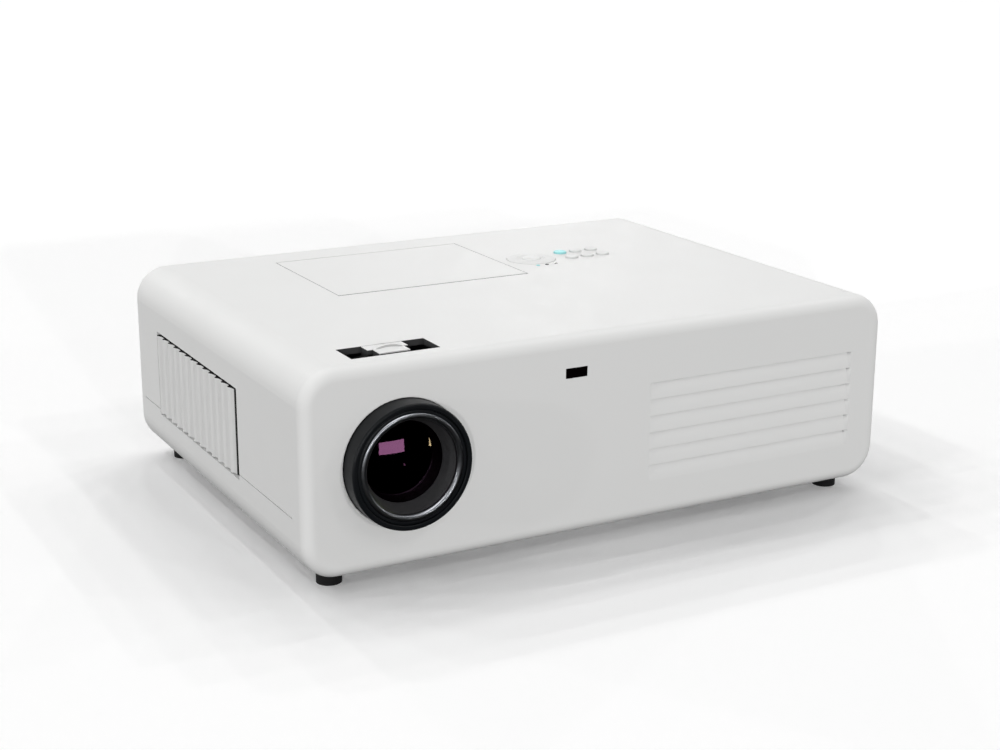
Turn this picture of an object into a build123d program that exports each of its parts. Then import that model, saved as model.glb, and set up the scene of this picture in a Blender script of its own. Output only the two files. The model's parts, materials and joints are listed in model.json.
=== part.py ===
from build123d import *
import math
import os

# Lengths are in millimetres. X is measured from the middle of the casing, depths count back from
# the front face and heights count up from the underside of the casing.

# Casing
case_w = 380.0
case_d = 280.0
case_h = 116.0
corner_r = 20.0
edge_r = 6.8
wall = 2.5
front_cap = 12.4
rear_cap = 11.2
split_h = 33.0
groove_w = 0.5
groove_front = 15.7
groove_deep = 1.2
deck_rise = 9.0
gap = 0.3
fit_gap = 0.05

# Feet
foot_h = 8.5
foot_r = 7.15
foot_inset_x = 22.0
foot_inset_y = 20.5
foot_pocket = 1.2
foot_screw_r = 3.0
foot_boss_r = 6.5
foot_boss_h = 22.0
foot_sole = 2.0
foot_screw_short = 1.0

# Ceiling bracket inserts and case screws
insert_span_x = 200.0
insert_span_y = 150.0
insert_bore_r = 2.5
insert_r = 4.5
insert_boss_r = 7.0
insert_boss_h = 8.0
insert_end_t = 1.0
screw_from_left = 60.0
screw_from_right = 24.0
screw_from_rear = 18.0
screw_middle_x = 145.0
screw_middle_depth = 34.0
screw_right_front = 40.0
screw_right_rear = 38.0
screw_clear = 12.0
screw_lamp_clear = 7.0
screw_r = 1.5
screw_head_r = 3.0
screw_head_h = 2.0
screw_post_r = 4.5
screw_grip = 12.0
screw_cross_w = 3.4
screw_cross_t = 0.9
screw_cross_deep = 1.0
screw_head_sink = 0.2

# Lens
lens_out = 11.8
lens_from_left = 58.2
lens_h = 60.0
tube_r = 35.0
tube_wall = 2.9
tube_round = 1.2
tube_step = 0.4
tube_shoulder = 0.2
tube_len = 60.0
tube_end_t = 4.0
tube_chamfer = 0.4
flange_w = 84.0
flange_t = 4.0
barrel_back = 14.0
barrel_lip = 0.6
barrel_round = 1.4
hood_land = 0.6
glass_seat = 1.2
hood_mouth_r = 27.2
glass_r = 22.9
glass_back = 0.6
front_glass_t = 7.0
glass_crown = 3.2
chrome_ring_r = 28.3
chrome_wire_r = 2.1
run_gap = 0.08
zoom_group_at = 23.0
zoom_group_len = 14.0
zoom_glass_r = 20.0
rear_glass_r = 14.0
lens_bulge = 2.0
surround_r = 35.2
surround_round = 0.8

# Slot in the top, with the focus and zoom tabs
slot_from_left = 35.0
slot_w = 52.1
slot_front = 13.8
slot_back = 35.3
lining_t = 0.4
lining_flange = 2.0
lining_flange_t = 1.0
lining_sink = 0.1
ring_wall = 3.4
shield_r = 51.5
shield_t = 1.5
shield_half_deg = 44.0
arm_half_deg = 9.0
tab_root = 4.0
tab_shift = 3.4
focus_tab_w = 17.8
focus_tab_front = 16.6
focus_tab_back = 25.8
focus_tab_dome_r = 23.0
focus_tab_crown_r = 8.2
focus_tab_rim = 0.3
zoom_tab_w = 23.7

# Remote-control window
window_from_left = 157.1
window_w = 13.8
window_bottom = 92.1
window_h = 5.8
window_t = 3.5
window_sink = 0.2
window_flange = 1.5

# Front louvres and the filter behind them
louvre_from_right = 22.4
louvre_w = 144.5
louvre_top = 82.2
louvre_pitch = 9.87
louvre_count = 6
fin_t = 1.2
fin_lean = 2.4
fin_tuck = 0.8
fin_belly = 0.25
filter_margin = 4.0
filter_t = 6.0
filter_back = 5.0
filter_guide_t = 1.5

# Grille in the left side
grille_front = 95.0
grille_len = 141.3
grille_bottom = 29.4
grille_h = 54.1
slat_pitch = 10.55
slat_chord = 7.1
slat_sink = 2.0
slat_hollow = 0.5
slat_t = 1.2
slat_gap = 0.65
slat_top_gap = 2.0
slat_end_round = 0.5
grille_flange = 4.0
grille_flange_t = 1.8
rail_h = 2.0
rail_count = 3

# Lamp cover in the top
lamp_cover_from_left = 85.5
lamp_cover_w = 129.1
lamp_cover_front = 147.0
lamp_cover_len = 101.1
lamp_cover_side_gap = 0.4
lamp_cover_end_gap = 1.1
ledge_w = 3.0
ledge_t = 1.6

# Control panel; keys and indicators are placed from the centre of the navigation ring
keys_from_lamp_cover = 22.6
keys_y = 182.0
nav_r = 15.8
nav_inner_r = 6.3
nav_crease_r = 8.8
nav_rise = 0.9
nav_skirt = 2.0
nav_rim_rise = 0.2
nav_crease_w = 0.5
nav_crease_deep = 0.4
nav_inner_rise = 0.3
nav_gap = 0.35
pivot_r = 9.0
pivot_gap = 0.5
enter_r = 5.85
key_r = 4.25
key_gap = 0.2
key_rise = 1.3
key_round = 0.8
key_travel = 0.8
key_flange_r = 5.2
key_flange_t = 0.8
key_stem_r = 1.5
key_stop_gap = 0.1
key_pitch_x = 11.8
key_pitch_y = 15.2
key_first_x = 26.2
key_first_y = 7.4
key_rows = 2
key_columns = 3
pip_r = 1.2
pip_pitch = 6.5
pip_count = 3
pip_first_x = -5.3
pip_first_y = -18.9
pip_rise = 0.3
board_t = 1.6
key_board_drop = 5.0
key_board_margin = 6.0
key_board_post_r = 2.5
key_board_post_inset = 3.5

# Light path behind the lens
optics_wall = 3.0
optics_depth = 66.0
optics_h = 78.0
optics_right = 190.0
prism_w = 32.0
panel_w = 26.0
panel_t = 3.0
panel_gap = 3.0
prism_seat_edge = 1.0
rear_glass_clear = 2.0
light_window_r = 18.0
mirror_w = 40.0
mirror_t = 2.0
mirror_pitch = 38.0
mirror_deg = 45.0

# Lamp
lamp_box_w = 92.0
lamp_box_len = 90.0
lamp_box_h = 86.0
lamp_box_wall = 2.5
lamp_web_t = 3.0
lamp_window_r = 28.0
lamp_vent_count = 5
lamp_vent_pitch = 11.0
lamp_vent_h = 5.0
lamp_vent_bottom = 22.0
lamp_vent_front = 20.0
lamp_vent_rear = 16.0
reflector_r = 32.0
reflector_depth = 34.0
reflector_t = 2.0
reflector_rim = 3.5
reflector_neck_len = 10.0
reflector_neck_gap = 1.5
reflector_waist = 0.72
reflector_waist_depth = 0.45
burner_r = 4.5
burner_len = 44.0
burner_cap_len = 6.0

# Fans
fan_w = 80.0
fan_t = 25.0
fan_hole_r = 37.0
fan_hub_r = 16.0
fan_blade_gap = 1.0
fan_blade_count = 7
fan_blade_t = 1.6
fan_spoke_w = 4.0
fan_spoke_t = 3.0
fan_spoke_deg = 45.0
fan_shaft_r = 2.0
fan_front_gap = 1.0
fan_blade_deg = 38.0
fan_blade_root = 4.0
fan_screw_inset = 4.0
fan_screw_r = 2.1
exhaust_fan_at = 152.0
intake_fan_at = 20.0
fan_wall_gap = 4.0
fan_post_inset = 10.0

# Boards and speaker
power_board_gap = 8.0
power_board_len = 56.0
main_board_len = 112.0
main_board_h = 44.0
board_side_gap = 6.0
board_lamp_gap = 5.5
board_post_gap = 4.4
board_rear_gap = 1.0
post_r = 3.5
post_inset = 8.0
main_post_rear = 45.0
transformer_inset_x = 12.0
transformer_inset_y = 14.0
transformer_w = 40.0
transformer_len = 34.0
transformer_h = 30.0
heat_sink_gap = 12.0
heat_sink_t = 6.0
heat_sink_h = 34.0
heat_sink_inset = 8.0
capacitor_gap = 11.0
capacitor_r = 9.0
capacitor_h = 32.0
capacitor_pitch = 22.0
processor_inset_x = 84.0
processor_inset_y = 24.0
processor_w = 36.0
processor_h = 9.0
chip_count = 4
chip_w = 11.0
chip_len = 18.0
chip_h = 1.4
chip_pitch = 16.0
chip_inset_x = 11.0
chip_inset_y = 16.0
ballast_w = 90.0
ballast_len = 84.0
ballast_h = 26.0
ballast_side_gap = 20.0
ballast_rear_gap = 6.0
ballast_post_inset = 14.0
speaker_w = 30.0
speaker_len = 36.0
speaker_h = 44.0
speaker_at = 52.0
speaker_post_r = 6.0
speaker_slot_w = 2.2
speaker_slot_h = 28.0
speaker_slot_pitch = 5.0
speaker_slot_count = 6

# Rear terminals
recess_deep = 6.0
recess_h = 26.0
recess_from_right = 8.0
recess_past_board = 6.5
recess_margin = 3.0
inlet_w = 30.0
inlet_h = 23.0
inlet_deep = 24.0
inlet_mouth_w = 24.6
inlet_mouth_h = 16.8
inlet_mouth_deep = 17.0
inlet_from_right = 40.0
inlet_bottom = 12.5
pin_w = 2.0
pin_h = 4.0
inlet_corner = 5.0
pin_len = 14.0
pin_pitch = 7.0
pin_offset = 2.0
pin_root = 2.0
pin_tail = 3.0
dsub_w = 16.8
dsub_h = 8.4
dsub_out = 5.0
dsub_body_w = 24.8
dsub_body_h = 12.5
dsub_pitch = 27.0
dsub_count = 3
dsub_lean = 1.2
dsub_corner = 1.5
dsub_shell_t = 0.6
dsub_hollow = 4.0
dsub_insert_gap = 0.1
dsub_insert_sink = 0.6
contact_rows = 3
contact_columns = 5
contact_pitch_x = 2.3
contact_pitch_z = 1.9
contact_r = 0.5
socket_inset = 6.0
socket_gap = 8.0
socket_back = 14.0
jack_r = 5.2
jack_bore_r = 1.7
jack_pitch = 13.0
jack_bore_deep = 10.0
jack_out = 2.0
jack_lift = 1.0
lan_gap = 3.0
lan_w = 16.0
lan_h = 13.5
lan_mouth_w = 11.8
lan_mouth_h = 8.0
lan_mouth_deep = 12.0

# Places worked out from the sizes above
front_y = -case_d / 2 + lens_out / 2
rear_y = front_y + case_d
terminal_wall_y = rear_y - recess_deep
mid_y = front_y + case_d / 2
top_z = foot_h + case_h
left_x = -case_w / 2
right_x = case_w / 2
floor_z = foot_h + wall
deck_z = floor_z + deck_rise
under_top_z = top_z - wall
lens_x = left_x + lens_from_left
lens_z = foot_h + lens_h
lamp_cover_x0 = left_x + lamp_cover_from_left
lamp_cover_x1 = lamp_cover_x0 + lamp_cover_w
lamp_axis_x = (lamp_cover_x0 + lamp_cover_x1) / 2
keys_x = lamp_cover_x1 + keys_from_lamp_cover
boards_x1 = right_x - wall - board_side_gap
intake_fan_x = right_x - louvre_from_right - louvre_w / 2
slot_x0 = left_x + slot_from_left
slot_x1 = slot_x0 + slot_w
lens_back = tube_len + flange_t
optics_back = lens_back + optics_depth
power_board_at = speaker_at + speaker_len + power_board_gap
key_board_z = under_top_z - key_board_drop
main_board_z = foot_h + main_board_h
speaker_z = foot_h + corner_r


def back(depth):
    """Y of a plane that lies this far behind the front face."""
    return front_y + depth


def up(height):
    """Z of a plane that lies this far over the underside of the casing."""
    return foot_h + height


def block(xs, ys, zs):
    """Box between two X, two Y and two Z planes."""
    middle = [(a + b) / 2 for a, b in (xs, ys, zs)]
    size = [b - a for a, b in (xs, ys, zs)]
    return Pos(*middle) * Box(*size)


def rod_z(x, y, r, z0, z1):
    return Pos(x, y, (z0 + z1) / 2) * Cylinder(r, z1 - z0)


def rod_y(x, z, r, y0, y1):
    return Pos(x, (y0 + y1) / 2, z) * Rot(90, 0, 0) * Cylinder(r, y1 - y0)


def turned_about_lens(outline):
    """Solid of revolution about the lens axis; the outline holds (radius, depth) points or curves."""
    profile = make_face(outline)
    return Pos(lens_x, front_y, lens_z) * revolve(profile, Axis.Y)


def turned_about_z(x, y, z, outline):
    """Solid of revolution about a vertical axis; the outline holds (radius, height) points."""
    profile = Plane.XZ * make_face(outline)
    return Pos(x, y, z) * revolve(profile, Axis.Z)


def polygon(points):
    return Polyline(*points, close=True)


def arc_plate(r_out, thickness, half_deg, y0, y1):
    """Part of a tube about the lens axis that spans half_deg each side of straight up."""
    tube = rod_y(lens_x, lens_z, r_out, y0, y1) - rod_y(lens_x, lens_z, r_out - thickness, y0, y1)
    reach = 2 * r_out
    side = reach * math.tan(math.radians(half_deg))
    wedge = make_face(polygon([(0, 0), (side, reach), (-side, reach)]))
    return tube & (Pos(lens_x, y1, lens_z) * extrude(Plane.XZ * wedge, amount=y1 - y0))


def casing_form(inset):
    """The casing's outer form, drawn in by inset on every side."""
    across = RectangleRounded(case_w - 2 * inset, case_h - 2 * inset, corner_r - inset)
    depth = case_d - 2 * inset
    body = extrude(Plane.XZ * across, amount=depth / 2, both=True)
    ends = body.faces().sort_by(Axis.Y)
    outline = ends[0].edges() + ends[-1].edges()
    return Pos(0, mid_y, up(case_h / 2)) * fillet(outline, edge_r - inset)


def casing_shell():
    return casing_form(0) - casing_form(wall)


def feet_places():
    for x in (left_x + foot_inset_x, right_x - foot_inset_x):
        for y in (back(foot_inset_y), rear_y - foot_inset_y):
            yield x, y


def screw_places():
    """Two at the left, one before the light path, one before the lamp and two at the right."""
    left = left_x + screw_from_left
    right = right_x - screw_from_right
    return [
        (left, back(optics_back + screw_clear)),
        (left, rear_y - screw_from_rear),
        (left_x + screw_middle_x, back(screw_middle_depth)),
        lamp_screw_place(),
        (right, back(screw_right_front)),
        (right, rear_y - screw_right_rear),
    ]


def lamp_screw_place():
    return lamp_cover_x1 - screw_clear, back(lamp_cover_front - screw_lamp_clear)


def insert_places():
    for x in (-insert_span_x / 2, insert_span_x / 2):
        for y in (mid_y - insert_span_y / 2, mid_y + insert_span_y / 2):
            yield x, y


def insert_top_z():
    return floor_z + insert_boss_h - insert_end_t


def key_places():
    """Rows of keys; the first one is the power key."""
    for row in range(key_rows):
        for column in range(key_columns):
            x = keys_x + key_first_x + column * key_pitch_x
            y = back(keys_y) + key_first_y - row * key_pitch_y
            yield x, y


def pip_places():
    for i in range(pip_count):
        yield keys_x + pip_first_x + i * pip_pitch, back(keys_y) + pip_first_y


def slot_cut():
    return block((slot_x0, slot_x1), (back(slot_front), back(slot_back)), (under_top_z - 1, top_z + 1))


def grille_cut():
    ys = (back(grille_front), back(grille_front + grille_len))
    return block((left_x - 1, left_x + wall + 1), ys, (up(grille_bottom), up(grille_bottom + grille_h)))


def lamp_cover_box(grow_x, grow_y, z0, z1):
    y0 = back(lamp_cover_front)
    xs = (lamp_cover_x0 - grow_x, lamp_cover_x1 + grow_x)
    return block(xs, (y0 - grow_y, y0 + lamp_cover_len + grow_y), (z0, z1))


def speaker_slots():
    y0 = back(speaker_at) + speaker_len / 2 - (speaker_slot_count - 1) * speaker_slot_pitch / 2
    z0 = speaker_z + (speaker_h - speaker_slot_h) / 2
    slots = []
    for i in range(speaker_slot_count):
        y = y0 + i * speaker_slot_pitch
        ys = (y - speaker_slot_w / 2, y + speaker_slot_w / 2)
        slots.append(block((right_x - wall - 1, right_x + 1), ys, (z0, z0 + speaker_slot_h)))
    return slots


def middle_shell(z0, z1):
    """The part of the shell between the front and rear panels and between two heights."""
    ys = (back(front_cap), rear_y - rear_cap)
    return casing_shell() & block((left_x, right_x), ys, (z0, z1))


def top_cover():
    cover = middle_shell(up(split_h), top_z)
    for x, y in screw_places():
        cover += rod_z(x, y, screw_post_r, up(split_h), under_top_z)
        cover -= rod_z(x, y, screw_r + fit_gap, up(split_h) - 1, up(split_h) + screw_grip + 1)
    cover += lamp_cover_box(ledge_w, ledge_w, under_top_z - ledge_t, under_top_z)
    cover -= lamp_cover_box(-ledge_w, -ledge_w, under_top_z - ledge_t - 1, top_z + 1)
    cover -= lamp_cover_box(lamp_cover_side_gap, lamp_cover_end_gap, under_top_z, top_z + 1)
    cover -= rod_z(keys_x, back(keys_y), nav_r + nav_gap, under_top_z - 1, top_z + 1)
    for x, y in key_places():
        cover -= rod_z(x, y, key_r + key_gap, under_top_z - 1, top_z + 1)
    for x, y in pip_places():
        cover -= rod_z(x, y, pip_r + fit_gap, under_top_z - 1, top_z + 1)
    for x, y in key_board_posts():
        cover += rod_z(x, y, key_board_post_r, key_board_z, under_top_z)
    for slot in speaker_slots():
        cover -= slot
    return cover - slot_cut() - grille_cut()


def bottom_cover():
    cover = middle_shell(foot_h, up(split_h))
    groove_z = (up(split_h) - groove_w, up(split_h) + 1)
    for x0, x1 in ((left_x, left_x + groove_deep), (right_x - groove_deep, right_x)):
        cover -= block((x0, x1), (back(groove_front), rear_y), groove_z)
    for x, y in screw_places():
        cover += rod_z(x, y, screw_post_r, foot_h + wall / 2, up(split_h))
        cover -= rod_z(x, y, screw_r + fit_gap, foot_h - 1, up(split_h) + 1)
        cover -= rod_z(x, y, screw_head_r + fit_gap, foot_h - 1, foot_h + screw_head_h)
    for x, y in insert_places():
        cover += rod_z(x, y, insert_boss_r, foot_h + wall / 2, floor_z + insert_boss_h)
        cover -= rod_z(x, y, insert_r + fit_gap, foot_h - 1, insert_top_z())
    for x, y in feet_places():
        front = y < mid_y
        if front:
            cover += rod_z(x, y, foot_boss_r, foot_h + wall / 2, floor_z + foot_boss_h)
        cover -= rod_z(x, y, foot_r + gap, foot_h - 1, foot_h + foot_pocket)
        if front:
            cover -= rod_z(x, y, foot_screw_r + fit_gap, foot_h, floor_z + foot_boss_h + 1)
    for x, y in deck_posts():
        cover += rod_z(x, y, post_r, foot_h + wall / 2, deck_z)
    x, y = right_x - wall - speaker_w / 2, back(speaker_at) + speaker_len / 2
    cover += rod_z(x, y, speaker_post_r, foot_h + wall / 2, speaker_z)
    for slot in speaker_slots():
        cover -= slot
    for x, y in main_board_posts():
        cover += rod_z(x, y, post_r, foot_h + wall / 2, main_board_z)
    return cover - grille_cut()


def louvre_x():
    x1 = right_x - louvre_from_right
    return x1 - louvre_w, x1


def louvre_fin(index):
    """Blade whose foot is flush and whose top leans back behind the blade above it."""
    z_top = louvre_top - index * louvre_pitch + fin_tuck
    z_foot = louvre_top - (index + 1) * louvre_pitch
    z_half = (z_top + z_foot) / 2
    half_lean = fin_lean * fin_belly
    outer = ThreePointArc((0, z_foot), (half_lean, z_half), (fin_lean, z_top))
    inner = ThreePointArc((fin_lean + fin_t, z_top), (half_lean + fin_t, z_half), (fin_t, z_foot))
    ends = [Line((fin_lean, z_top), (fin_lean + fin_t, z_top)), Line((fin_t, z_foot), (0, z_foot))]
    x0, x1 = louvre_x()
    blade = extrude(Plane.YZ * make_face([outer, ends[0], inner, ends[1]]), amount=x1 - x0)
    return Pos(x0, front_y, foot_h) * blade


def filter_box(grow, y0, y1):
    x0, x1 = louvre_x()
    z0 = up(louvre_top - louvre_count * louvre_pitch) - filter_margin
    z1 = up(louvre_top) + filter_margin
    return block((x0 - filter_margin - grow, x1 + filter_margin + grow), (y0, y1), (z0 - grow, z1 + grow))


def front_panel():
    panel = casing_shell() & block((left_x, right_x), (front_y, back(front_cap)), (foot_h, top_z))
    lens_hole = rod_y(lens_x, lens_z, surround_r, front_y - 1, back(wall + 1))
    panel -= lens_hole
    rim = panel.edges().filter_by(GeomType.CIRCLE).filter_by_position(Axis.Y, front_y - 0.1, front_y + 0.1)
    rim = [e for e in rim if abs(e.radius - surround_r) < 0.01]
    panel = fillet(rim, surround_round)
    x0, x1 = louvre_x()
    z_low = up(louvre_top - louvre_count * louvre_pitch)
    panel -= block((x0, x1), (front_y - 1, back(wall + 1)), (z_low, up(louvre_top)))
    for i in range(louvre_count):
        panel += louvre_fin(i)
    guide = filter_box(gap + filter_guide_t, back(wall), back(filter_back + filter_t))
    panel += guide - filter_box(gap, back(wall) - 1, back(filter_back + filter_t) + 1)
    panel -= window_box(fit_gap, front_y - 1, back(wall + 1))
    return panel - slot_cut()


def window_box(grow, y0, y1):
    x0 = left_x + window_from_left
    xs = (x0 - grow, x0 + window_w + grow)
    return block(xs, (y0, y1), (up(window_bottom) - grow, up(window_bottom + window_h) + grow))


def remote_window():
    pane = window_box(0, back(window_sink), back(wall))
    return pane + window_box(window_flange, back(wall), back(window_t))


def filter_foam():
    return filter_box(0, back(filter_back), back(filter_back + filter_t))


def slat(y_rear):
    """Hollow slat whose rear edge is flush with the side; it sinks towards the front."""
    y_front = y_rear - slat_chord
    y_mid = (y_rear + y_front) / 2
    outer = ThreePointArc((0, y_rear), (slat_sink / 2 + slat_hollow, y_mid), (slat_sink, y_front))
    inner_mid = (slat_sink / 2 + slat_hollow + slat_t, y_mid)
    inner = ThreePointArc((slat_sink + slat_t, y_front), inner_mid, (slat_t, y_rear))
    front_edge = Line((slat_sink, y_front), (slat_sink + slat_t, y_front))
    rear_edge = Line((slat_t, y_rear), (0, y_rear))
    z0 = up(grille_bottom) + slat_gap
    z1 = up(grille_bottom + grille_h) - slat_top_gap
    blade = extrude(make_face([outer, front_edge, inner, rear_edge]), amount=z1 - z0)
    top_edges = blade.edges().group_by(Axis.Z)[-1]
    return Pos(left_x, 0, z0) * fillet(top_edges.sort_by(Axis.X)[:2], slat_end_round)


def side_grille():
    x0 = left_x + wall
    x1 = x0 + grille_flange_t
    y0 = back(grille_front)
    y1 = y0 + grille_len
    z0 = up(grille_bottom)
    z1 = z0 + grille_h
    rim = block((x0, x1), (y0 - grille_flange, y1 + grille_flange), (z0 - grille_flange, z1 + grille_flange))
    grille = rim - block((x0 - 1, x1 + 1), (y0, y1), (z0, z1))
    for i in range(rail_count):
        z = z0 + (i + 1) * grille_h / (rail_count + 1)
        grille += block((x0, x1), (y0 - 1, y1 + 1), (z - rail_h / 2, z + rail_h / 2))
    for i in range(int(grille_len / slat_pitch)):
        grille += slat(y1 - slat_gap - i * slat_pitch)
    return grille


def lamp_cover():
    return lamp_cover_box(0, 0, under_top_z, top_z)


def main_board_x0():
    return lamp_axis_x + lamp_box_w / 2 + board_lamp_gap


def rear_panel():
    cap = casing_shell() & block((left_x, right_x), (rear_y - rear_cap, rear_y), (foot_h, top_z))
    x1 = right_x - recess_from_right
    x0 = main_board_x0() - recess_past_board
    z0 = main_board_z - recess_margin
    z1 = z0 + recess_h
    tray = block((x0 - wall, x1 + wall), (rear_y - recess_deep - wall, rear_y - wall), (z0 - wall, z1 + wall))
    cap += tray & casing_form(wall)
    cap -= block((x0, x1), (rear_y - recess_deep, rear_y + 1), (z0, z1))
    for hole in dsub_bodies(fit_gap) + jack_bodies(fit_gap):
        cap -= hole
    cap -= lan_body(fit_gap)
    return cap - inlet_body(fit_gap)


def terminal_z():
    return main_board_z + board_t + dsub_body_h / 2


def dsub_x():
    start = right_x - recess_from_right - socket_inset - dsub_body_w / 2
    return [start - i * dsub_pitch for i in range(dsub_count)]


def jack_x():
    """As many jacks as the main board has room for beside the network socket."""
    start = dsub_x()[-1] - dsub_body_w / 2 - socket_gap
    room = start - jack_pitch / 2 - lan_gap - lan_w - main_board_x0()
    return [start - i * jack_pitch for i in range(int(room / jack_pitch) + 1)]


def lan_x():
    return jack_x()[-1] - jack_pitch / 2 - lan_gap - lan_w / 2


def dsub_bodies(grow):
    """Blocks that the three D-shaped sockets fill where they pass through the panel."""
    z = terminal_z()
    w, h = dsub_body_w / 2 + grow, dsub_body_h / 2 + grow
    ys = (terminal_wall_y - socket_back, terminal_wall_y + grow)
    return [block((x - w, x + w), ys, (z - h, z + h)) for x in dsub_x()]


def jack_z():
    return main_board_z + board_t + jack_r + jack_lift


def jack_bodies(grow):
    ys = (terminal_wall_y - socket_back, terminal_wall_y + jack_out + grow)
    return [rod_y(x, jack_z(), jack_r + grow, *ys) for x in jack_x()]


def lan_body(grow):
    x = lan_x()
    z = main_board_z + board_t
    xs = (x - lan_w / 2 - grow, x + lan_w / 2 + grow)
    ys = (terminal_wall_y - socket_back, terminal_wall_y + grow)
    return block(xs, ys, (z - grow, z + lan_h + grow))


def inlet_body(grow):
    x1 = right_x - inlet_from_right + grow
    z0 = up(inlet_bottom) - grow
    xs = (x1 - inlet_w - 2 * grow, x1)
    return block(xs, (rear_y - inlet_deep, rear_y + grow), (z0, z0 + inlet_h + 2 * grow))


def inlet_centre():
    return right_x - inlet_from_right - inlet_w / 2, up(inlet_bottom + inlet_h / 2)


def ac_inlet():
    x, z = inlet_centre()
    hw, hh = inlet_mouth_w / 2, inlet_mouth_h / 2
    cut = inlet_corner
    mouth = polygon([(-hw, -hh), (hw, -hh), (hw, hh - cut), (hw - cut, hh), (cut - hw, hh), (-hw, hh - cut)])
    body = inlet_body(0)
    cavity = extrude(Plane.XZ * make_face(mouth), amount=inlet_mouth_deep + 1)
    body -= Pos(x, rear_y + 1, z) * cavity
    for pin in inlet_pins(fit_gap):
        body -= pin
    return body


def inlet_pins(grow):
    x, z = inlet_centre()
    y1 = rear_y - inlet_mouth_deep + pin_len - pin_root
    y0 = rear_y - inlet_deep - pin_tail
    pins = []
    for dx, dz in ((-pin_pitch, -pin_offset), (0, pin_offset), (pin_pitch, -pin_offset)):
        xs = (x + dx - pin_w / 2 - grow, x + dx + pin_w / 2 + grow)
        zs = (z + dz - pin_h / 2 - grow, z + dz + pin_h / 2 + grow)
        pins.append(block(xs, (y0, y1), zs))
    return pins


def d_outline(w, h):
    """D shape that is narrower at the bottom."""
    low = w / 2 - dsub_lean
    outline = make_face(polygon([(-w / 2, h / 2), (w / 2, h / 2), (low, -h / 2), (-low, -h / 2)]))
    return fillet(outline.vertices(), dsub_corner)


def computer_sockets():
    shells = []
    z = terminal_z()
    y1 = terminal_wall_y + dsub_out
    inside = 2 * dsub_shell_t
    for x, body in zip(dsub_x(), dsub_bodies(0)):
        nose = extrude(Plane.XZ * d_outline(dsub_w, dsub_h), amount=dsub_out)
        hollow = Plane.XZ * d_outline(dsub_w - inside, dsub_h - inside)
        hollow = extrude(hollow, amount=dsub_out + dsub_hollow)
        shells.append(body + Pos(x, y1, z) * nose - Pos(x, y1, z) * hollow)
    return shells


def socket_inserts():
    inserts = []
    z = terminal_z()
    shrink = 2 * (dsub_shell_t + dsub_insert_gap)
    y1 = terminal_wall_y + dsub_out - dsub_insert_sink
    for x in dsub_x():
        insert = Plane.XZ * d_outline(dsub_w - shrink, dsub_h - shrink)
        insert = Pos(x, y1, z) * extrude(insert, amount=y1 - terminal_wall_y + dsub_hollow)
        for row in range(contact_rows):
            for column in range(contact_columns):
                px = x + (column - (contact_columns - 1) / 2) * contact_pitch_x
                pz = z + (row - (contact_rows - 1) / 2) * contact_pitch_z
                insert -= rod_y(px, pz, contact_r, terminal_wall_y, terminal_wall_y + dsub_out)
        inserts.append(insert)
    return inserts


def round_jacks():
    z = jack_z()
    jacks = []
    y1 = terminal_wall_y + jack_out
    foot_y = (terminal_wall_y - socket_back, terminal_wall_y - wall - gap)
    for x, body in zip(jack_x(), jack_bodies(0)):
        body += block((x - jack_r, x + jack_r), foot_y, (main_board_z + board_t, z))
        jacks.append(body - rod_y(x, z, jack_bore_r, y1 - jack_bore_deep, y1 + 1))
    return jacks


def network_socket():
    x = lan_x()
    z = main_board_z + board_t + lan_h / 2
    xs = (x - lan_mouth_w / 2, x + lan_mouth_w / 2)
    ys = (terminal_wall_y - lan_mouth_deep, terminal_wall_y + 1)
    return lan_body(0) - block(xs, ys, (z - lan_mouth_h / 2, z + lan_mouth_h / 2))


def lens_tube():
    bore = tube_r - tube_wall
    mouth = bore + tube_chamfer
    rim = tube_round - lens_out
    wall_back = tube_len - tube_end_t
    slim_r = tube_r - tube_step
    seat_r = rear_glass_r + fit_gap
    outline = [
        Polyline((slim_r, tube_len), (slim_r, -tube_shoulder), (tube_r, -tube_shoulder), (tube_r, rim)),
        RadiusArc((tube_r, rim), (tube_r - tube_round, -lens_out), tube_round),
        Line((tube_r - tube_round, -lens_out), (mouth, -lens_out)),
        Polyline((mouth, -lens_out), (bore, tube_chamfer - lens_out), (bore, wall_back), (seat_r, wall_back)),
        Polyline((seat_r, wall_back), (seat_r, tube_len), (slim_r, tube_len)),
    ]
    tube = turned_about_lens(outline)
    half = flange_w / 2
    flange_y = (back(tube_len), back(lens_back))
    flange = block((lens_x - half, lens_x + half), flange_y, (lens_z - half, lens_z + half))
    return tube + flange - rod_y(lens_x, lens_z, seat_r, back(wall_back), back(lens_back) + 1)


def rear_lens():
    y0 = tube_len - tube_end_t
    rim = y0 + lens_bulge
    outline = [
        Spline((0, y0), (rear_glass_r, rim), tangents=[(1, 0), (rear_glass_r, 2 * lens_bulge)]),
        Polyline((rear_glass_r, rim), (rear_glass_r, lens_back), (0, lens_back), (0, y0)),
    ]
    return turned_about_lens(outline)


def focus_barrel():
    r = tube_r - tube_wall - run_gap
    lip = barrel_lip - lens_out
    seat_r = glass_r + glass_seat
    outline = [
        Line((r, barrel_back), (r, lip + barrel_round)),
        RadiusArc((r, lip + barrel_round), (r - barrel_round, lip), barrel_round),
        Polyline((r - barrel_round, lip), (hood_mouth_r, lip), (glass_r, glass_back - hood_land)),
        Polyline((glass_r, glass_back - hood_land), (glass_r, glass_back), (seat_r, glass_back)),
        Polyline((seat_r, glass_back), (seat_r, barrel_back), (r, barrel_back)),
    ]
    barrel = turned_about_lens(outline)
    return barrel - chrome_torus(chrome_wire_r + fit_gap)


def chrome_torus(wire_r):
    return Pos(lens_x, back(chrome_wire_r - lens_out), lens_z) * Rot(90, 0, 0) * Torus(chrome_ring_r, wire_r)


def chrome_ring():
    return chrome_torus(chrome_wire_r)


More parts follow.
